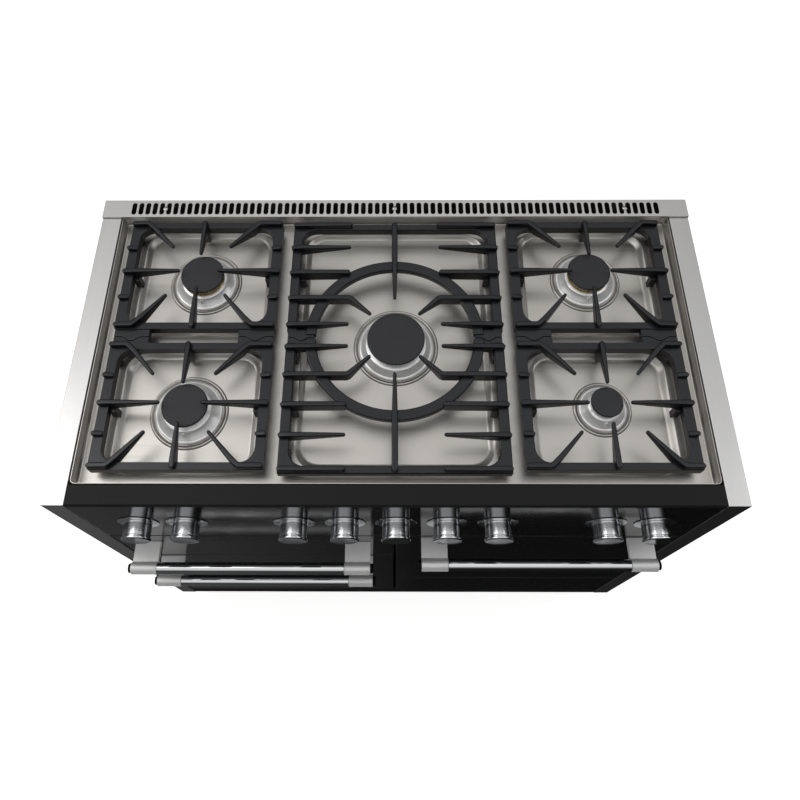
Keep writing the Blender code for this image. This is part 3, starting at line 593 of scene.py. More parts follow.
bm = bmesh.new()
slots = []
for i in range(SLOTS):
    x = (i - (SLOTS - 1) / 2) * SLOT_PITCH
    r = SLOT_W / 2
    slots.append(
        arc(x, SLOT_Y[1] - r, r, 0, 180, 7) + arc(x, SLOT_Y[0] + r, r, 180, 360, 7)
    )
prism(
    bm,
    [(-WIDTH / 2, TRIM_Y), (WIDTH / 2, TRIM_Y), (WIDTH / 2, DEPTH), (-WIDTH / 2, DEPTH)],
    TOP + TRIM_RISE - 0.0015,
    TOP + TRIM_RISE,
    holes=slots,
)
cover = mesh_of(bm, "cover")
folds = []
for x0, x1, y0, y1 in (
    (-WIDTH / 2, WIDTH / 2, TRIM_Y, TRIM_Y + 0.0012),
    (-WIDTH / 2, -WIDTH / 2 + 0.0012, TRIM_Y + 0.0006, DEPTH - 0.0006),
    (WIDTH / 2 - 0.0012, WIDTH / 2, TRIM_Y + 0.0006, DEPTH - 0.0006),
):
    bm = bmesh.new()
    box(bm, x0, x1, y0, y1, TOP - 0.0018, TOP + TRIM_RISE - 0.0008)
    folds.append(mesh_of(bm, "fold"))
put("vent_trim", union(cover, folds), steel_trim, "range_body", stands_for=["rear_vent_trim"], slot="stainless", bevel=0.0006, segments=3)
bm = bmesh.new()
box(bm, -WIDTH / 2 + 0.0014, WIDTH / 2 - 0.0014, DEPTH - 0.0016, DEPTH - 0.0004, TOP - 0.0018, TOP + TRIM_RISE - 0.0016)
piece("vent_fold", bm, satin, "range_body", slot="black_satin", bevel=0.0003, segments=2)
for i, x in enumerate(TRIM_SCREWS):
    bm = bmesh.new()
    top = TOP + TRIM_RISE
    dome = [(0, top + 0.0018)] + [(0.0048 * math.sin(t), top + 0.0018 * math.cos(t)) for t in (0.3, 0.6, 0.9, 1.2, 1.5)]
    turned(bm, dome + [(0.0048, top - 0.0006), (0, top - 0.0006)], 32, (x, (SLOT_Y[0] + SLOT_Y[1]) / 2, 0))
    piece(f"trim_screw_{i + 1}", bm, screw_look, "range_body", slot="stainless", pivot=(x, (SLOT_Y[0] + SLOT_Y[1]) / 2, top))

bm = bmesh.new()
nose = [(0, TOP - RAIL_H), (RAIL_D, TOP - RAIL_H), (RAIL_D, TOP - 0.0008), (RAIL_D - 0.0008, TOP)]
nose += arc(0.0034, TOP - 0.0034, 0.0034, 90, 180, 6)
prism(bm, nose, -INNER_X, INNER_X, axis="x")
piece("front_nose", bm, satin, "range_body", stands_for=["front_rail"], slot="black_satin", bevel=0.0005, segments=2)

bm = bmesh.new()
prism(
    bm,
    [(-INNER_X, FASCIA_BOT), (INNER_X, FASCIA_BOT), (INNER_X, FASCIA_TOP), (-INNER_X, FASCIA_TOP)],
    0,
    FASCIA_T,
    axis="y",
    holes=[circle(x, KNOB_Z, 0.007, 24) for x in KNOBS.values()],
)
piece("fascia", bm, black, "range_body", stands_for=["control_fascia"], slot="black_gloss", bevel=0.0006, segments=2)

# ---------------------------------------------------------------- hob tray

tx, ty0, ty1 = INNER_X - 0.0020, RAIL_D + 0.0025, 0.5455
bm = bmesh.new()


def ring_of(points, z):
    return [bm.verts.new((x, y, z)) for x, y in points]


def edges_of(verts):
    return [bm.edges.get((a, b)) or bm.edges.new((a, b)) for a, b in zip(verts, verts[1:] + verts[:1])]


def join_rings(one, two):
    for i in range(len(one)):
        j = (i + 1) % len(one)
        bm.faces.new((one[i], one[j], two[j], two[i]))


def eased(t):
    return t * t * (3 - 2 * t)


ROUND = 0.004
cx, cy = 0, (ty0 + ty1) / 2
hx, hy = tx, (ty1 - ty0) / 2
wall_rings = [ring_of(rounded(cx, cy, hx, hy, 0.0065, 6), TOP - 0.0024)]
wall_rings.append(ring_of(rounded(cx, cy, hx, hy, 0.0065, 6), TRAY_Z + ROUND))
for k in range(1, 6):
    t = math.radians(90 * k / 5)
    inset = ROUND * (1 - math.cos(t))
    wall_rings.append(
        ring_of(rounded(cx, cy, hx - inset, hy - inset, 0.0065 - inset * 0.5, 6), TRAY_Z + ROUND * (1 - math.sin(t)))
    )
for one, two in zip(wall_rings, wall_rings[1:]):
    join_rings(one, two)
flat_edges = edges_of(wall_rings[-1])
floors = {}
SLOPE = 0.0125
for key, (wx, wy, hx, hy) in WELLS.items():
    rings = []
    for k in range(11):
        t = k / 10
        out = 0.0035 - SLOPE * t
        z = TRAY_Z - 0.008 * eased(t)
        rings.append(ring_of(rounded(wx, wy, hx + out, hy + out, 0.034 + out * 0.8, 14), z))
    for one, two in zip(rings, rings[1:]):
        join_rings(one, two)
    flat_edges += edges_of(rings[0])
    floors[key] = rings[-1]
bmesh.ops.triangle_fill(bm, use_beauty=True, edges=flat_edges)
for key, (bx, by, cap, dish, press) in BURNERS.items():
    # a bead pressed up round each burner, a groove, then the hole's edge
    profile = []
    bead, groove = 0.0056, press - dish - 0.0012
    for k in range(9):
        t = k / 8
        profile.append((press - bead * t, 0.0030 * math.sin(math.pi * (0.04 + 0.84 * t)) ** 1.1))
    profile += [(press - bead - 0.0010, -0.0001), (press - bead - 0.0022, -0.0009), (press - groove, -0.0011)]
    profile += [(dish * 0.9, -0.0008), (dish * BURNER_HOLE, -0.0002)]
    rings = [ring_of(circle(bx, by, r, 96), WELL_Z + h) for r, h in profile]
    for one, two in zip(rings, rings[1:]):
        join_rings(one, two)
    bmesh.ops.triangle_fill(bm, use_beauty=True, edges=edges_of(floors[key]) + edges_of(rings[0]))
bmesh.ops.recalc_face_normals(bm, faces=bm.faces)
lowest = min(bm.faces, key=lambda f: f.calc_center_median().z)
if lowest.normal.z < 0:
    bmesh.ops.reverse_faces(bm, faces=bm.faces)
mesh = bpy.data.meshes.new("tray")
bm.to_mesh(mesh)
bm.free()
tray = temporary(mesh)
thick = tray.modifiers.new("sheet", "SOLIDIFY")
thick.thickness, thick.offset = 0.0009, -1
put("hob_top", evaluated(tray), steel_x, "range_body", stands_for=["hob_tray"], slot="stainless", angle=40)

# ---------------------------------------------------------------- burners

for key, (x, y, cap, dish, press) in BURNERS.items():
    crown = 0.88 * cap
    bm = bmesh.new()
    segments = 120
    ports = 40 if cap > 0.03 else 30
    lip = dish * BURNER_HOLE
    profile = [
        (0, 0.0296),
        (0.78 * cap, 0.0296),
        (0.84 * cap, 0.0292),
        (crown, 0.0272),
        (crown + 0.0004, 0.0262),
        (crown + 0.0004, 0.0200),
        (crown + 0.0004, 0.0190),
        (1.00 * cap, 0.0178),
        (1.05 * cap, 0.0172),
        (1.07 * cap, 0.0165),
        (1.085 * cap, 0.0150),
        (1.12 * cap, 0.0128),
        (0.45 * 1.12 * cap + 0.55 * (dish - 0.0034), 0.0086),
        (dish - 0.0034, 0.0060),
        (dish - 0.0031, 0.0052),
        (dish - 0.0026, 0.0052),
        (dish - 0.0022, 0.0057),
        (dish - 0.0008, 0.0054),
        (dish, 0.0046),
        (dish, 0.0012),
        (dish - 0.0006, 0.0004),
        (lip - 0.004, 0.0004),
        (lip - 0.006, -0.0215),
        (0, -0.0215),
    ]
    rings = []
    for k, (r, h) in enumerate(profile):
        ring = []
        if r == 0:
            ring = [(x, y, WELL_Z + h)]
        else:
            for i in range(segments):
                # gas ports: every third column of the crown's wall is set back
                inset = 0.0022 if k in (4, 5) and i % 3 == 0 else 0
                a = 2 * math.pi * i / segments
                ring.append((x + (r - inset) * math.cos(a), y + (r - inset) * math.sin(a), WELL_Z + h))
        rings.append(ring)
    loft(bm, rings, closed_ends=False)
    piece(f"burner_{key}", bm, alu, "range_body", stands_for=[f"burner_body_{key}"], slot="aluminium", pivot=(x, y, WELL_Z), angle=34)

    if key.endswith("rear"):
        bm = bmesh.new()
        turned(
            bm,
            [
                (crown + 0.0010, 0.0196),
                (crown + 0.0026, 0.0196),
                (crown + 0.0032, 0.0203),
                (crown + 0.0032, 0.0222),
                (crown + 0.0026, 0.0229),
                (crown + 0.0010, 0.0229),
                (crown + 0.0010, 0.0196),
            ],
            96,
            (x, y, WELL_Z),
        )
        bmesh.ops.remove_doubles(bm, verts=bm.verts, dist=1e-6)
        piece(f"flame_ring_{key}", bm, brass_look, "range_body", slot="brass", pivot=(x, y, WELL_Z))

    # igniter: a ceramic pin with a steel tip, in front of the crown
    ix, iy = x - 0.001, y - (1.14 * cap + 0.001)
    bm = bmesh.new()
    turned(
        bm,
        [
            (0, 0.0225),
            (0.0007, 0.0222),
            (0.0007, 0.0190),
            (0.0017, 0.0188),
            (0.0021, 0.0180),
            (0.0021, 0.0110),
            (0.0026, 0.0104),
            (0.0026, 0.0070),
            (0, 0.0068),
        ],
        24,
        (ix, iy, WELL_Z),
        material_of=lambda band: 1 if band < 2 else 0,
    )
    piece(f"igniter_{key}", bm, [ceramic, screw_look], "range_body", slot="aluminium", pivot=(ix, iy, WELL_Z))

    bm = bmesh.new()
    profile = [(0, 0.0360), (cap * 0.6, 0.03595), (cap - 0.0030, 0.0357)]
    profile += [(cap - 0.0022 + r, 0.0334 + h) for r, h in arc(0, 0, 0.0022, 85, 0, 5)]
    profile += [(cap, 0.0318), (cap - 0.0004, 0.0308), (cap - 0.0014, 0.03005), (0, 0.03002)]
    turned(bm, profile, 96, (x, y, WELL_Z))
    piece(f"cap_{key}", bm, cap_look, f"burner_cap_{key}", stands_for=[f"burner_cap_{key}"], slot="cap_enamel", pivot=(x, y, WELL_Z + 0.030))

# ---------------------------------------------------------------- pan supports


def blade(stations, top_r=0.0021, low_r=0.0010, steps=3, round_end=True, round_start=False):
    """A closed bar with rounded edges through (x, y, width, low, high)."""
    points = [list(s) for s in stations]

    def ending(end, before):
        direction = Vector((end[0] - before[0], end[1] - before[1])).normalized()
        w = end[2] / 2
        made = []
        for k in range(1, 5):
            t = math.radians(90 * k / 4)
            share = max(math.cos(t), 0.12)
            back = w * (1 - math.sin(t))
            drop = 0.0012 * (1 - math.cos(t))
            made.append(
                [end[0] - direction.x * back, end[1] - direction.y * back, end[2] * share, end[3] + drop, end[4] - drop]
            )
        start = [end[0] - direction.x * w, end[1] - direction.y * w, *end[2:]]
        return [start] + made

    if round_end:
        points = points[:-1] + ending(points[-1], points[-2])
    if round_start:
        points = ending(points[0], points[1])[::-1] + points[1:]
    rings = []
    for i, (x, y, width, low, high) in enumerate(points):
        before, after = points[max(i - 1, 0)], points[min(i + 1, len(points) - 1)]
        d_in = Vector((x - before[0], y - before[1]))
        d_out = Vector((after[0] - x, after[1] - y))
        d_in = d_in.normalized() if d_in.length > 1e-9 else d_out.normalized()
        d_out = d_out.normalized() if d_out.length > 1e-9 else d_in
        along = (d_in + d_out).normalized()
        side = Vector((-along.y, along.x)) / max(along.dot(d_in), 0.5)
        a = width / 2
        rt = min(top_r, a * 0.92, (high - low) * 0.45)
        rb = min(low_r, a * 0.92, (high - low) * 0.45)
        section = []
        for sx, sz, r, start in (
            (a - rt, high - rt, rt, 0),
            (rt - a, high - rt, rt, 90),
            (rb - a, low + rb, rb, 180),
            (a - rb, low + rb, rb, 270),
        ):
            section += arc(sx, sz, r, start, start + 90, steps)
        rings.append([(x + side.x * s, y + side.y * s, z) for s, z in section])
    bm = bmesh.new()
    loft(bm, rings)
    return mesh_of(bm, "blade")


def block(x0, x1, y0, y1, z0, z1, bevel=0.0012):
    bm = bmesh.new()
    box(bm, x0, x1, y0, y1, z0, z1)
    return bevelled(bm, bevel, 2)


def solid(outline, low, high, bevel=0.0015, segments=2):
    bm = bmesh.new()
    prism(bm, outline, low, high)
    return bevelled(bm, bevel, segments, 25)


def wavy(a, b, mid, near, dip, half):
    """The edge of a tongue along x from a to b, with one smooth dip."""
    m = (a + b) / 2
    points = [(a, near), (a, mid)]
    for k in range(13):
        u = -1 + 2 * k / 12
        points.append((m + half * u, mid - dip * (0.5 + 0.5 * math.cos(math.pi * u))))
    return points + [(b, mid), (b, near)]


def side_support(name, side, y_range, burner, front):
    x0, x1 = sorted(side * x for x in GRATE_X)
    y0, y1 = y_range
    bx, by = side * GRATE_BURNER_X, burner
    mx, my = (x0 + x1) / 2, (y0 + y1) / 2
    bm = bmesh.new()
    hole = rounded(mx, my, (x1 - x0) / 2 - RAIL_SIDE, (y1 - y0) / 2 - RAIL_END, 0.024, 8)
    outline = rounded(mx, my, (x1 - x0) / 2, (y1 - y0) / 2, 0.003, 3)
    prism(bm, outline, GRATE_RAIL_BOT, GRATE_RAIL_TOP, holes=[hole])
    base = bevelled(bm, 0.0020, 3, 30)
    out = 0.0015
    w, top = FINGER_W, GRATE_TOP
    parts = []
    for s, edge in ((-1, x0), (1, x1)):
        parts.append(
            blade(
                [
                    (edge + s * out, by, w + 0.0006, SINK, top - 0.0012),
                    (edge - s * 0.006, by, w + 0.0004, SINK - 0.002, top - 0.0004),
                    (edge - s * 0.018, by, w, ROOT_LOW, top),
                    (bx + s * 0.033, by, TIP_W, TIP_LOW, top),
                ],
                round_start=True,
            )
        )
    for s, edge in ((-1, y0), (1, y1)):
        parts.append(
            blade(
                [
                    (bx, edge - s * 0.0006, w, SINK, top - 0.0012),
                    (bx, edge - s * 0.016, w, ROOT_LOW, top),
                    (bx, by + s * 0.0335, TIP_W, TIP_LOW, top),
                ],
                round_start=True,
            )
        )
        for t, end in ((-1, x0), (1, x1)):
            yb = edge - s * 0.0055
            parts.append(
                blade(
                    [
                        (end - t * 0.0004, yb, w, SINK, top - 0.0010),
                        (bx + t * 0.1035, yb, w, SINK, top),
                        (bx + t * 0.0990, yb - s * 0.0032, w, SINK - 0.002, top),
                        (bx + t * 0.0880, yb - s * 0.0140, w, ROOT_LOW + 0.001, top),
                        (bx + t * 0.050, by + s * 0.049, TIP_W, TIP_LOW, top),
                    ],
                    round_start=True,
                )
            )
    for s, edge in ((-1, x0), (1, x1)):
        for dy in (-0.052, 0.050):
            parts.append(
                blade(
                    [
                        (edge + s * out, by + dy, w, SINK, top - 0.0022),
                        (edge - s * (RAIL_SIDE + 0.0012), by + dy, w - 0.0004, SINK, top - 0.0042),
                    ],
                    round_start=True,
                )
            )
    # lugs that rest on the tray, inside the frame under three of the fingers
    for s, edge in ((-1, x0), (1, x1)):
        inner = edge - s * (RAIL_SIDE - 0.002)
        xs = sorted((inner, inner - s * 0.012))
        parts.append(block(*xs, by - 0.0105, by + 0.0005, TRAY_Z - 0.0030, GRATE_RAIL_BOT + 0.007))
    edge = y1 - (RAIL_END - 0.002)
    parts.append(block(bx - 0.0045, bx + 0.0045, edge - 0.012, edge, TRAY_Z + 0.0006, GRATE_RAIL_BOT + 0.006))
    for fx in (x0 + 0.004, x1 - 0.014):
        for fy in (y0 + 0.018, y1 - 0.030):
            parts.append(block(fx, fx + 0.010, fy, fy + 0.012, TRAY_Z + GAP, GRATE_RAIL_BOT + 0.004))
    gap = 0.0004
    for s, edge in ((-1, x0), (1, x1)):
        a, b = sorted((edge - s * 0.002, edge - s * 0.062))
        if front:
            outline = wavy(a, b, GRATE_SPLIT_Y - gap, y1 - 0.003, 0.008, 0.019)
        else:
            outline = wavy(a, b, GRATE_SPLIT_Y + gap, y0 + 0.003, 0.008, 0.019)
        parts.append(solid(outline, GRATE_RAIL_BOT + 0.002, GRATE_RAIL_TOP - 0.002, 0.0010))
    mesh = union(base, parts)
    put(name + "_iron", mesh, iron, name, stands_for=[name], slot="cast_iron", angle=42)


def centre_support(name, sign):
    mid, x = CENTRE_SPLIT_Y, CENTRE_GRATE_X
    far = CENTRE_GRATE_Y[1] if sign > 0 else CENTRE_GRATE_Y[0]
    near = mid + sign * 0.0110
    inner_x, inner_y, corner = x - RAIL_SIDE, far - sign * RAIL_END, 0.026
    bend = [
        (px, inner_y - sign * corner + sign * py)
        for px, py in arc(inner_x - corner, 0, corner, 0, 90, 8)
    ]
    outline = [(x, near), (x, far), (-x, far), (-x, near), (-inner_x, near)]
    outline += [(-px, py) for px, py in bend] + bend[::-1] + [(inner_x, near)]
    bm = bmesh.new()
    prism(bm, outline if sign > 0 else outline[::-1], GRATE_RAIL_BOT, GRATE_RAIL_TOP)
    base = bevelled(bm, 0.0020, 3, 30)
    w, top = FINGER_W, GRATE_TOP
    parts = []
    rows = REAR_ROWS if sign > 0 else FRONT_ROWS
    for s in (-1, 1):
        for row, y in enumerate(rows):
            stations = [
                (s * (x + 0.0012), y, w + 0.0004, SINK, top - 0.0012),
                (s * (x - 0.006), y, w + 0.0002, SINK - 0.002, top - 0.0004),
            ]
            if row == 1:
                stations += [
                    (s * (x - 0.018), y, w, ROOT_LOW, top),
                    (s * 0.080, y, w, ROOT_LOW + 0.001, top),
                    (s * 0.0755, y - sign * 0.0016, w, ROOT_LOW + 0.002, top),
                    (s * 0.0405, mid + sign * 0.0390, TIP_W, TIP_LOW, top),
                ]
            elif row == 2:
                stations += [
                    (s * (x - 0.018), y, w, ROOT_LOW - 0.002, top),
                    (s * 0.078, y, w, ROOT_LOW, top),
                ]
            else:
                stations += [
                    (s * (x - 0.018), y, w, ROOT_LOW, top),
                    (s * 0.078, y, TIP_W, TIP_LOW, top),
                ]
            parts.append(blade(stations, round_start=True))
        yb = far - sign * 0.0058
        parts.append(
            blade(
                [
                    (s * (x - 0.0004), yb, w, SINK, top - 0.001),
                    (s * 0.077, yb, w, SINK, top),
                ],
                round_start=True,
            )
        )
        for d in (0.030, 0.200):
            fy, fx = mid + sign * d, s * (x - 0.0135)
            parts.append(block(fx - 0.005, fx + 0.005, fy - 0.006, fy + 0.006, TRAY_Z + GAP, GRATE_RAIL_BOT + 0.004))
        fx = s * (inner_x - 0.004)
        parts.append(
            block(fx - 0.006, fx + 0.006, rows[2] - 0.0085, rows[2] + 0.0005, TRAY_Z + 0.0006, GRATE_RAIL_BOT + 0.007)
        )
        a, b = sorted((s * (x - 0.002), s * 0.136))
        outline = wavy(a, b, mid + sign * 0.0004, near + sign * 0.004, 0.007, 0.015)
        parts.append(solid(outline, GRATE_RAIL_BOT + 0.001, GRATE_RAIL_TOP - 0.001, 0.0010))
    r0, r1 = RING
    begin = math.asin(0.0035 / r0)
    turns = 48
    outer, inner = [], []
    for i in range(turns + 1):
        angle = begin + (math.pi - 2 * begin) * i / turns
        outer.append((r1 * math.cos(angle), mid + sign * r1 * math.sin(angle)))
        inner.append((r0 * math.cos(angle), mid + sign * r0 * math.sin(angle)))
    outline = outer + inner[::-1]
    parts.append(
        solid(outline if sign > 0 else outline[::-1], GRATE_RAIL_TOP - 0.011, GRATE_RAIL_TOP + 0.0015, 0.0024, 3)
    )
    parts.append(
        blade(
            [
                (0, far - sign * 0.0008, w + 0.0015, SINK - 0.001, top - 0.0015),
                (0, far - sign * 0.020, w + 0.0015, ROOT_LOW - 0.001, top),
                (0, mid + sign * 0.155, w + 0.0015, ROOT_LOW - 0.001, top),
                (0, mid + sign * 0.0695, TIP_W, TIP_LOW, top),
            ],
            round_start=True,
        )
    )
    mesh = union(base, parts)
    put(name + "_iron", mesh, iron, name, stands_for=[name], slot="cast_iron", angle=42)


for side, word in ((-1, "left"), (1, "right")):
    side_support(f"pan_support_{word}_rear", side, GRATE_REAR_Y, 0.417, False)
    side_support(f"pan_support_{word}_front", side, GRATE_FRONT_Y, 0.166, True)
centre_support("pan_support_centre_rear", 1)
centre_support("pan_support_centre_front", -1)

# ---------------------------------------------------------------- knobs

for name, x in KNOBS.items():
    bm = bmesh.new()
    profile = [(0, 0.0306), (0.0190, 0.0306), (0.0200, 0.0309), (0.0214, 0.0310), (0.0228, 0.0308)]
    profile += [(0.0235, 0.0303), (0.0239, 0.0296), (0.0240, 0.0290), (0.0240, 0.0274), (0.0238, 0.0270)]
    profile += [(0.0217, 0.0269), (0.0216, 0.0238), (0.0221, 0.0236), (0.0223, 0.0233), (0.0223, 0.0228), (0.0223, 0.0034), (0.0223, 0.0026), (0.0226, 0.0021)]
    profile += [(0.0232, 0.0019), (0.0330, 0.0015), (0.0336, 0.0013), (0.0338, 0.0009), (0.0336, 0.0005)]
    profile += [(0.0052, 0.0004), (0.0050, 0.0002), (0.0050, -0.0100), (0, -0.0100)]
    groove = profile.index((0.0238, 0.0270))

    def band_look(band):
        if band < 2:
            return 1
        return 2 if groove <= band <= groove + 2 else 0

    turned(bm, profile, 96, (x, 0, KNOB_Z), axis="y", material_of=band_look)
    piece(name + "_turned", bm, [knob_look, face_look, groove_look], name, stands_for=[name], slot="satin_chrome", pivot=(x, 0, KNOB_Z), angle=40)

# ---------------------------------------------------------------- doors

for key, ((x0, x1), (z0, z1)) in DOORS.items():
    body = f"{key}_door"
    bm = bmesh.new()
    box(bm, x0, x1, 0, DOOR_T, z0, z1)
    piece(f"{key}_door_glass", bm, black, body, stands_for=[f"{key}_door_panel"], slot="black_gloss", bevel=0.0010)
    h0, h1, hz = HANDLES[key]
    h0, h1 = h0 + PLUG_L, h1 - PLUG_L
    arm_top, arm_low = 0.001, -0.007
    outline = [(-GAP, hz + arm_top)]
    first = math.asin(arm_top / EYE_R)
    last = 2 * math.pi - math.asin(-arm_low / EYE_R)
    outline += [
        (-HANDLE_P + EYE_R * math.cos(first + (last - first) * k / 40), hz + EYE_R * math.sin(first + (last - first) * k / 40))
        for k in range(41)
    ]
    outline.append((-GAP, hz + arm_low))
    for end, a, b in (("left", h0, h0 + BRACKET_W), ("right", h1 - BRACKET_W, h1)):
        bm = bmesh.new()
        prism(bm, outline, a, b, axis="x")
        piece(
            f"{key}_bracket_{end}",
            bm,
            satin_chrome,
            body,
            stands_for=[f"{key}_handle_bracket_{end}"],
            slot="satin_chrome",
            bevel=0.0004,
            segments=2,
        )
        s = -1 if end == "left" else 1
        edge = a if end == "left" else b
        profile = [(0, 0.0058), (0.0060, 0.0058), (0.0076, 0.0054), (0.0083, 0.0044), (0.0085, 0.0030), (0.0085, 0.0001), (0, 0.0001)]
        bm = bmesh.new()
        turned(bm, [(r, s * h) for r, h in profile], 48, (edge, -HANDLE_P, hz), axis="x")
        piece(f"{key}_plug_{end}", bm, groove_look, body, slot="black_satin", pivot=(edge, -HANDLE_P, hz))
    a, b = h0 + BRACKET_W + GAP, h1 - BRACKET_W - GAP
    bm = bmesh.new()
    r = HANDLE_R
    turned(
        bm,
        [(0, b - a), (r - 0.0006, b - a), (r, b - a - 0.0006), (r, 0.0006), (r - 0.0006, 0), (0, 0)],
        64,
        (a, -HANDLE_P, hz),
        axis="x",
    )
    piece(f"{key}_bar", bm, chrome, body, stands_for=[f"{key}_handle_bar"], slot="chrome")

bm = bmesh.new()
rings = []
for inset, z in ((0, 0.124), (0, 0.252), (0.002, 0.252), (0.002, 0.126)):
    rings.append(
        [
            (0.020 + inset, 0.010 + inset, z),
            (0.486 - inset, 0.010 + inset, z),
            (0.486 - inset, 0.450 - inset, z),
            (0.020 + inset, 0.450 - inset, z),
        ]
    )
loft(bm, rings)
mesh = mesh_of(bm, "drawer_tray")
bm = bmesh.new()
box(bm, *RIGHT_X, 0, 0.0115, *DRAWER_Z)
front = bevelled(bm, 0.0010, 3)
put("drawer_box", union(front, [mesh]), black, "storage_drawer", stands_for=["storage_drawer"], slot="black_gloss")

# ---------------------------------------------------------------- inside the ovens


def rod(bm, start, end, radius, segments=10):
    a, b = Vector(start), Vector(end)
    along = (b - a).normalized()
    side = along.cross(Vector((0, 0, 1))).normalized()
    up = side.cross(along)
    rings = []
    for p in (a, b):
        rings.append(
            [
                p + side * radius * math.cos(2 * math.pi * k / segments) + up * radius * math.sin(2 * math.pi * k / segments)
                for k in range(segments)
            ]
        )
    loft(bm, rings)


for name, z, x0, x1 in (("left_oven_shelf", 0.205, -0.4775, -0.0285), ("right_oven_shelf", 0.370, 0.0285, 0.4775)):
    bm = bmesh.new()
    y0, y1, r = 0.060, 0.460, 0.0029
    zc = z + 0.003
    for y in (y0 + r, y1 - r):
        rod(bm, (x0, y, zc), (x1, y, zc), r)
    for x in (x0 + r, x1 - r):
        rod(bm, (x, y0 + 2 * r + 0.0001, zc), (x, y1 - 2 * r - 0.0001, zc), r)
    bars = 22
    for i in range(1, bars):
        x = x0 + r + (x1 - x0 - 2 * r) * i / bars
        rod(bm, (x, y0 + 2 * r + 0.0001, zc), (x, y1 - 2 * r - 0.0001, zc), 0.0018, 8)
    piece(name + "_rack", bm, rack_look, "range_body", stands_for=[name], slot="shelf_chrome")

# ---------------------------------------------------------------- feet

for word, (fx, fy) in FEET.items():
    bm = bmesh.new()
    profile = [
        (0, BODY_Z - GAP),
        (0.0146, BODY_Z - GAP),
        (0.0150, BODY_Z - 0.0007),
        (0.0150, BODY_Z - 0.0116),
        (0.0146, BODY_Z - 0.0120),
        (0.0070, BODY_Z - 0.0130),
    ]
    z = BODY_Z - 0.0135
    while z > 0.0150:  # screw thread
        profile += [(0.0070, z), (0.0064, z - 0.0006), (0.0070, z - 0.0012)]
        z -= 0.0015
    profile += [(0.0070, 0.0125), (0.0110, 0.0118), (0.0195, 0.0092), (0.0216, 0.0060), (0.0220, 0.0030), (0.0218, 0.0), (0, 0.0)]
    turned(bm, profile, 48, (fx, fy, 0))
    piece(f"level_foot_{word}", bm, foot_look, "range_body", stands_for=[f"foot_{word}"], slot="foot_steel", pivot=(fx, fy, 0))

# ---------------------------------------------------------------- CAD nodes that stay

for node, look in {
    "base_frame": satin,
    "back_panel": zinc,
    "grill_cavity": enamel,
    "left_oven_cavity": enamel,
    "right_oven_cavity": enamel,
    "grill_pan": enamel,
    "grill_door_liner": enamel,
    "left_oven_door_liner": enamel,
    "right_oven_door_liner": enamel,
    "gas_rail": brass_look,
}.items():
    kept = frame["nodes"][node]
    if not kept.material_slots:
        kept.data.materials.append(look.made)
    for place in kept.material_slots:
        place.material = look.made

# ---------------------------------------------------------------- studio

bm = bmesh.new()
bmesh.ops.create_grid(bm, x_segments=24, y_segments=24, size=9)
bmesh.ops.translate(bm, verts=bm.verts, vec=(0, 0, -0.0006))
floor_mesh = bpy.data.meshes.new("floor")
bm.to_mesh(floor_mesh)
bm.free()
floor = bpy.data.objects.new("floor", floor_mesh)
bpy.context.scene.collection.objects.link(floor)
pale = Look("floor_paper", (0.90, 0.90, 0.90), 0.9, Specular_IOR_Level=0.0, Emission_Strength=0.75)
pale.put("Emission Color", (1, 1, 1, 1))
fibre = pale.noise((40, 40, 40), 3.0)
pale.paint(pale.tint(fibre, (0.89, 0.89, 0.89), (0.91, 0.91, 0.91)))
floor_mesh.materials.append(pale.made)
floor.visible_glossy = False

world = bpy.data.worlds.new("studio")
bpy.context.scene.world = world
world.use_nodes = True
tree = world.node_tree
where = tree.nodes.new("ShaderNodeTexCoord")
split = tree.nodes.new("ShaderNodeSeparateXYZ")
shade = tree.nodes.new("ShaderNodeValToRGB")
tree.links.new(where.outputs["Generated"], split.inputs[0])
lift = tree.nodes.new("ShaderNodeMapRange")
lift.inputs["From Min"].default_value = -1
lift.inputs["From Max"].default_value = 1
tree.links.new(split.outputs["Z"], lift.inputs["Value"])
tree.links.new(lift.outputs["Result"], shade.inputs["Fac"])
ramp = shade.color_ramp
ramp.elements[0].position, ramp.elements[0].color = 0.48, (0.015, 0.015, 0.015, 1)
ramp.elements[1].position, ramp.elements[1].color = 0.99, (0.82, 0.82, 0.81, 1)
for position, tone in ((0.62, 0.035), (0.74, 0.10), (0.82, 0.42), (0.90, 0.70)):
    stop = ramp.elements.new(position)
    stop.color = (tone, tone, tone * 0.985, 1)


def across(stops):
    """Grey that changes with the direction from left to right."""
    lift = tree.nodes.new("ShaderNodeMapRange")
    lift.inputs["From Min"].default_value = -1
    lift.inputs["From Max"].default_value = 1
    tree.links.new(split.outputs["X"], lift.inputs["Value"])
    made = tree.nodes.new("ShaderNodeValToRGB")
    tree.links.new(lift.outputs["Result"], made.inputs["Fac"])
    first, last = made.color_ramp.elements
    first.position, first.color = stops[0][0], (*[stops[0][1]] * 3, 1)
    last.position, last.color = stops[-1][0], (*[stops[-1][1]] * 3, 1)
    for position, tone in stops[1:-1]:
        made.color_ramp.elements.new(position).color = (tone, tone, tone, 1)
    return made.outputs["Color"]


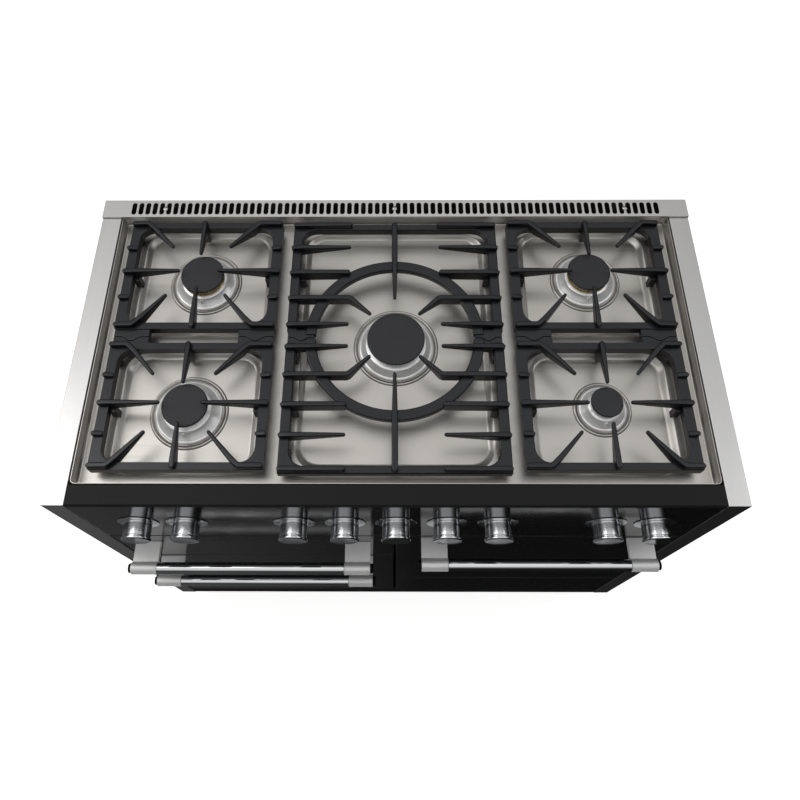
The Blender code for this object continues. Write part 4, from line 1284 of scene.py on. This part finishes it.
def mixed(blend, factor, one, two):
    made = tree.nodes.new("ShaderNodeMix")
    made.data_type, made.blend_type = "RGBA", blend
    if isinstance(factor, float):
        made.inputs["Factor"].default_value = factor
    else:
        tree.links.new(factor, made.inputs["Factor"])
    tree.links.new(one, made.inputs[6])
    tree.links.new(two, made.inputs[7])
    return made.outputs[2]


above = mixed("MULTIPLY", 1.0, shade.outputs["Color"], across(((0.05, 1.0), (0.20, 0.74), (0.31, 0.53), (0.68, 0.51), (0.84, 0.34), (0.95, 0.22))))
above = mixed("ADD", 1.0, above, above)
below = across(((0.25, 0.11), (0.40, 0.055), (0.52, 0.010), (0.80, 0.006)))
side = tree.nodes.new("ShaderNodeMapRange")
side.inputs["From Min"].default_value = -0.05
side.inputs["From Max"].default_value = 0.25
tree.links.new(split.outputs["Z"], side.inputs["Value"])
tree.links.new(mixed("MIX", side.outputs["Result"], below, above), tree.nodes["Background"].inputs["Color"])
tree.nodes["Background"].inputs["Strength"].default_value = 1.0


def panel_light(name, where, target, width, height, power, colour=(1, 1, 1)):
    data = bpy.data.lights.new(name, "AREA")
    data.shape, data.size, data.size_y = "RECTANGLE", width, height
    data.energy, data.color = power, colour
    obj = bpy.data.objects.new(name, data)
    bpy.context.scene.collection.objects.link(obj)
    obj.location = where
    obj.rotation_euler = (Vector(target) - Vector(where)).to_track_quat("-Z", "Y").to_euler()
    return obj


panel_light("softbox_left", (-1.95, 0.45, 2.95), (-0.2, 0, 0.9), 0.6, 3.0, 15, (1.0, 0.995, 0.98))
panel_light("softbox_right", (2.7, 0.3, 2.5), (0.2, 0, 0.9), 0.7, 2.8, 11, (0.985, 0.99, 1.0))

camera_data = bpy.data.cameras.new("camera")
camera = bpy.data.objects.new("camera", camera_data)
bpy.context.scene.collection.objects.link(camera)
camera_data.sensor_width = 36
camera_data.lens = 732.96 / 800 * 36
camera_data.shift_x = (400 - 388.54) / 800
camera_data.shift_y = (350 - 400) / 800
camera_data.clip_start, camera_data.clip_end = 0.01, 60
camera.location = (-0.00149, -0.28825 + Y0, TOP + 1.10106)
camera.rotation_euler = (0.46601758, 0.00656124, 0.00313012)
bpy.context.scene.camera = camera
bpy.context.scene.view_settings.view_transform = "Standard"
bpy.context.scene.view_settings.look = "None"

bpy.context.view_layer.update()
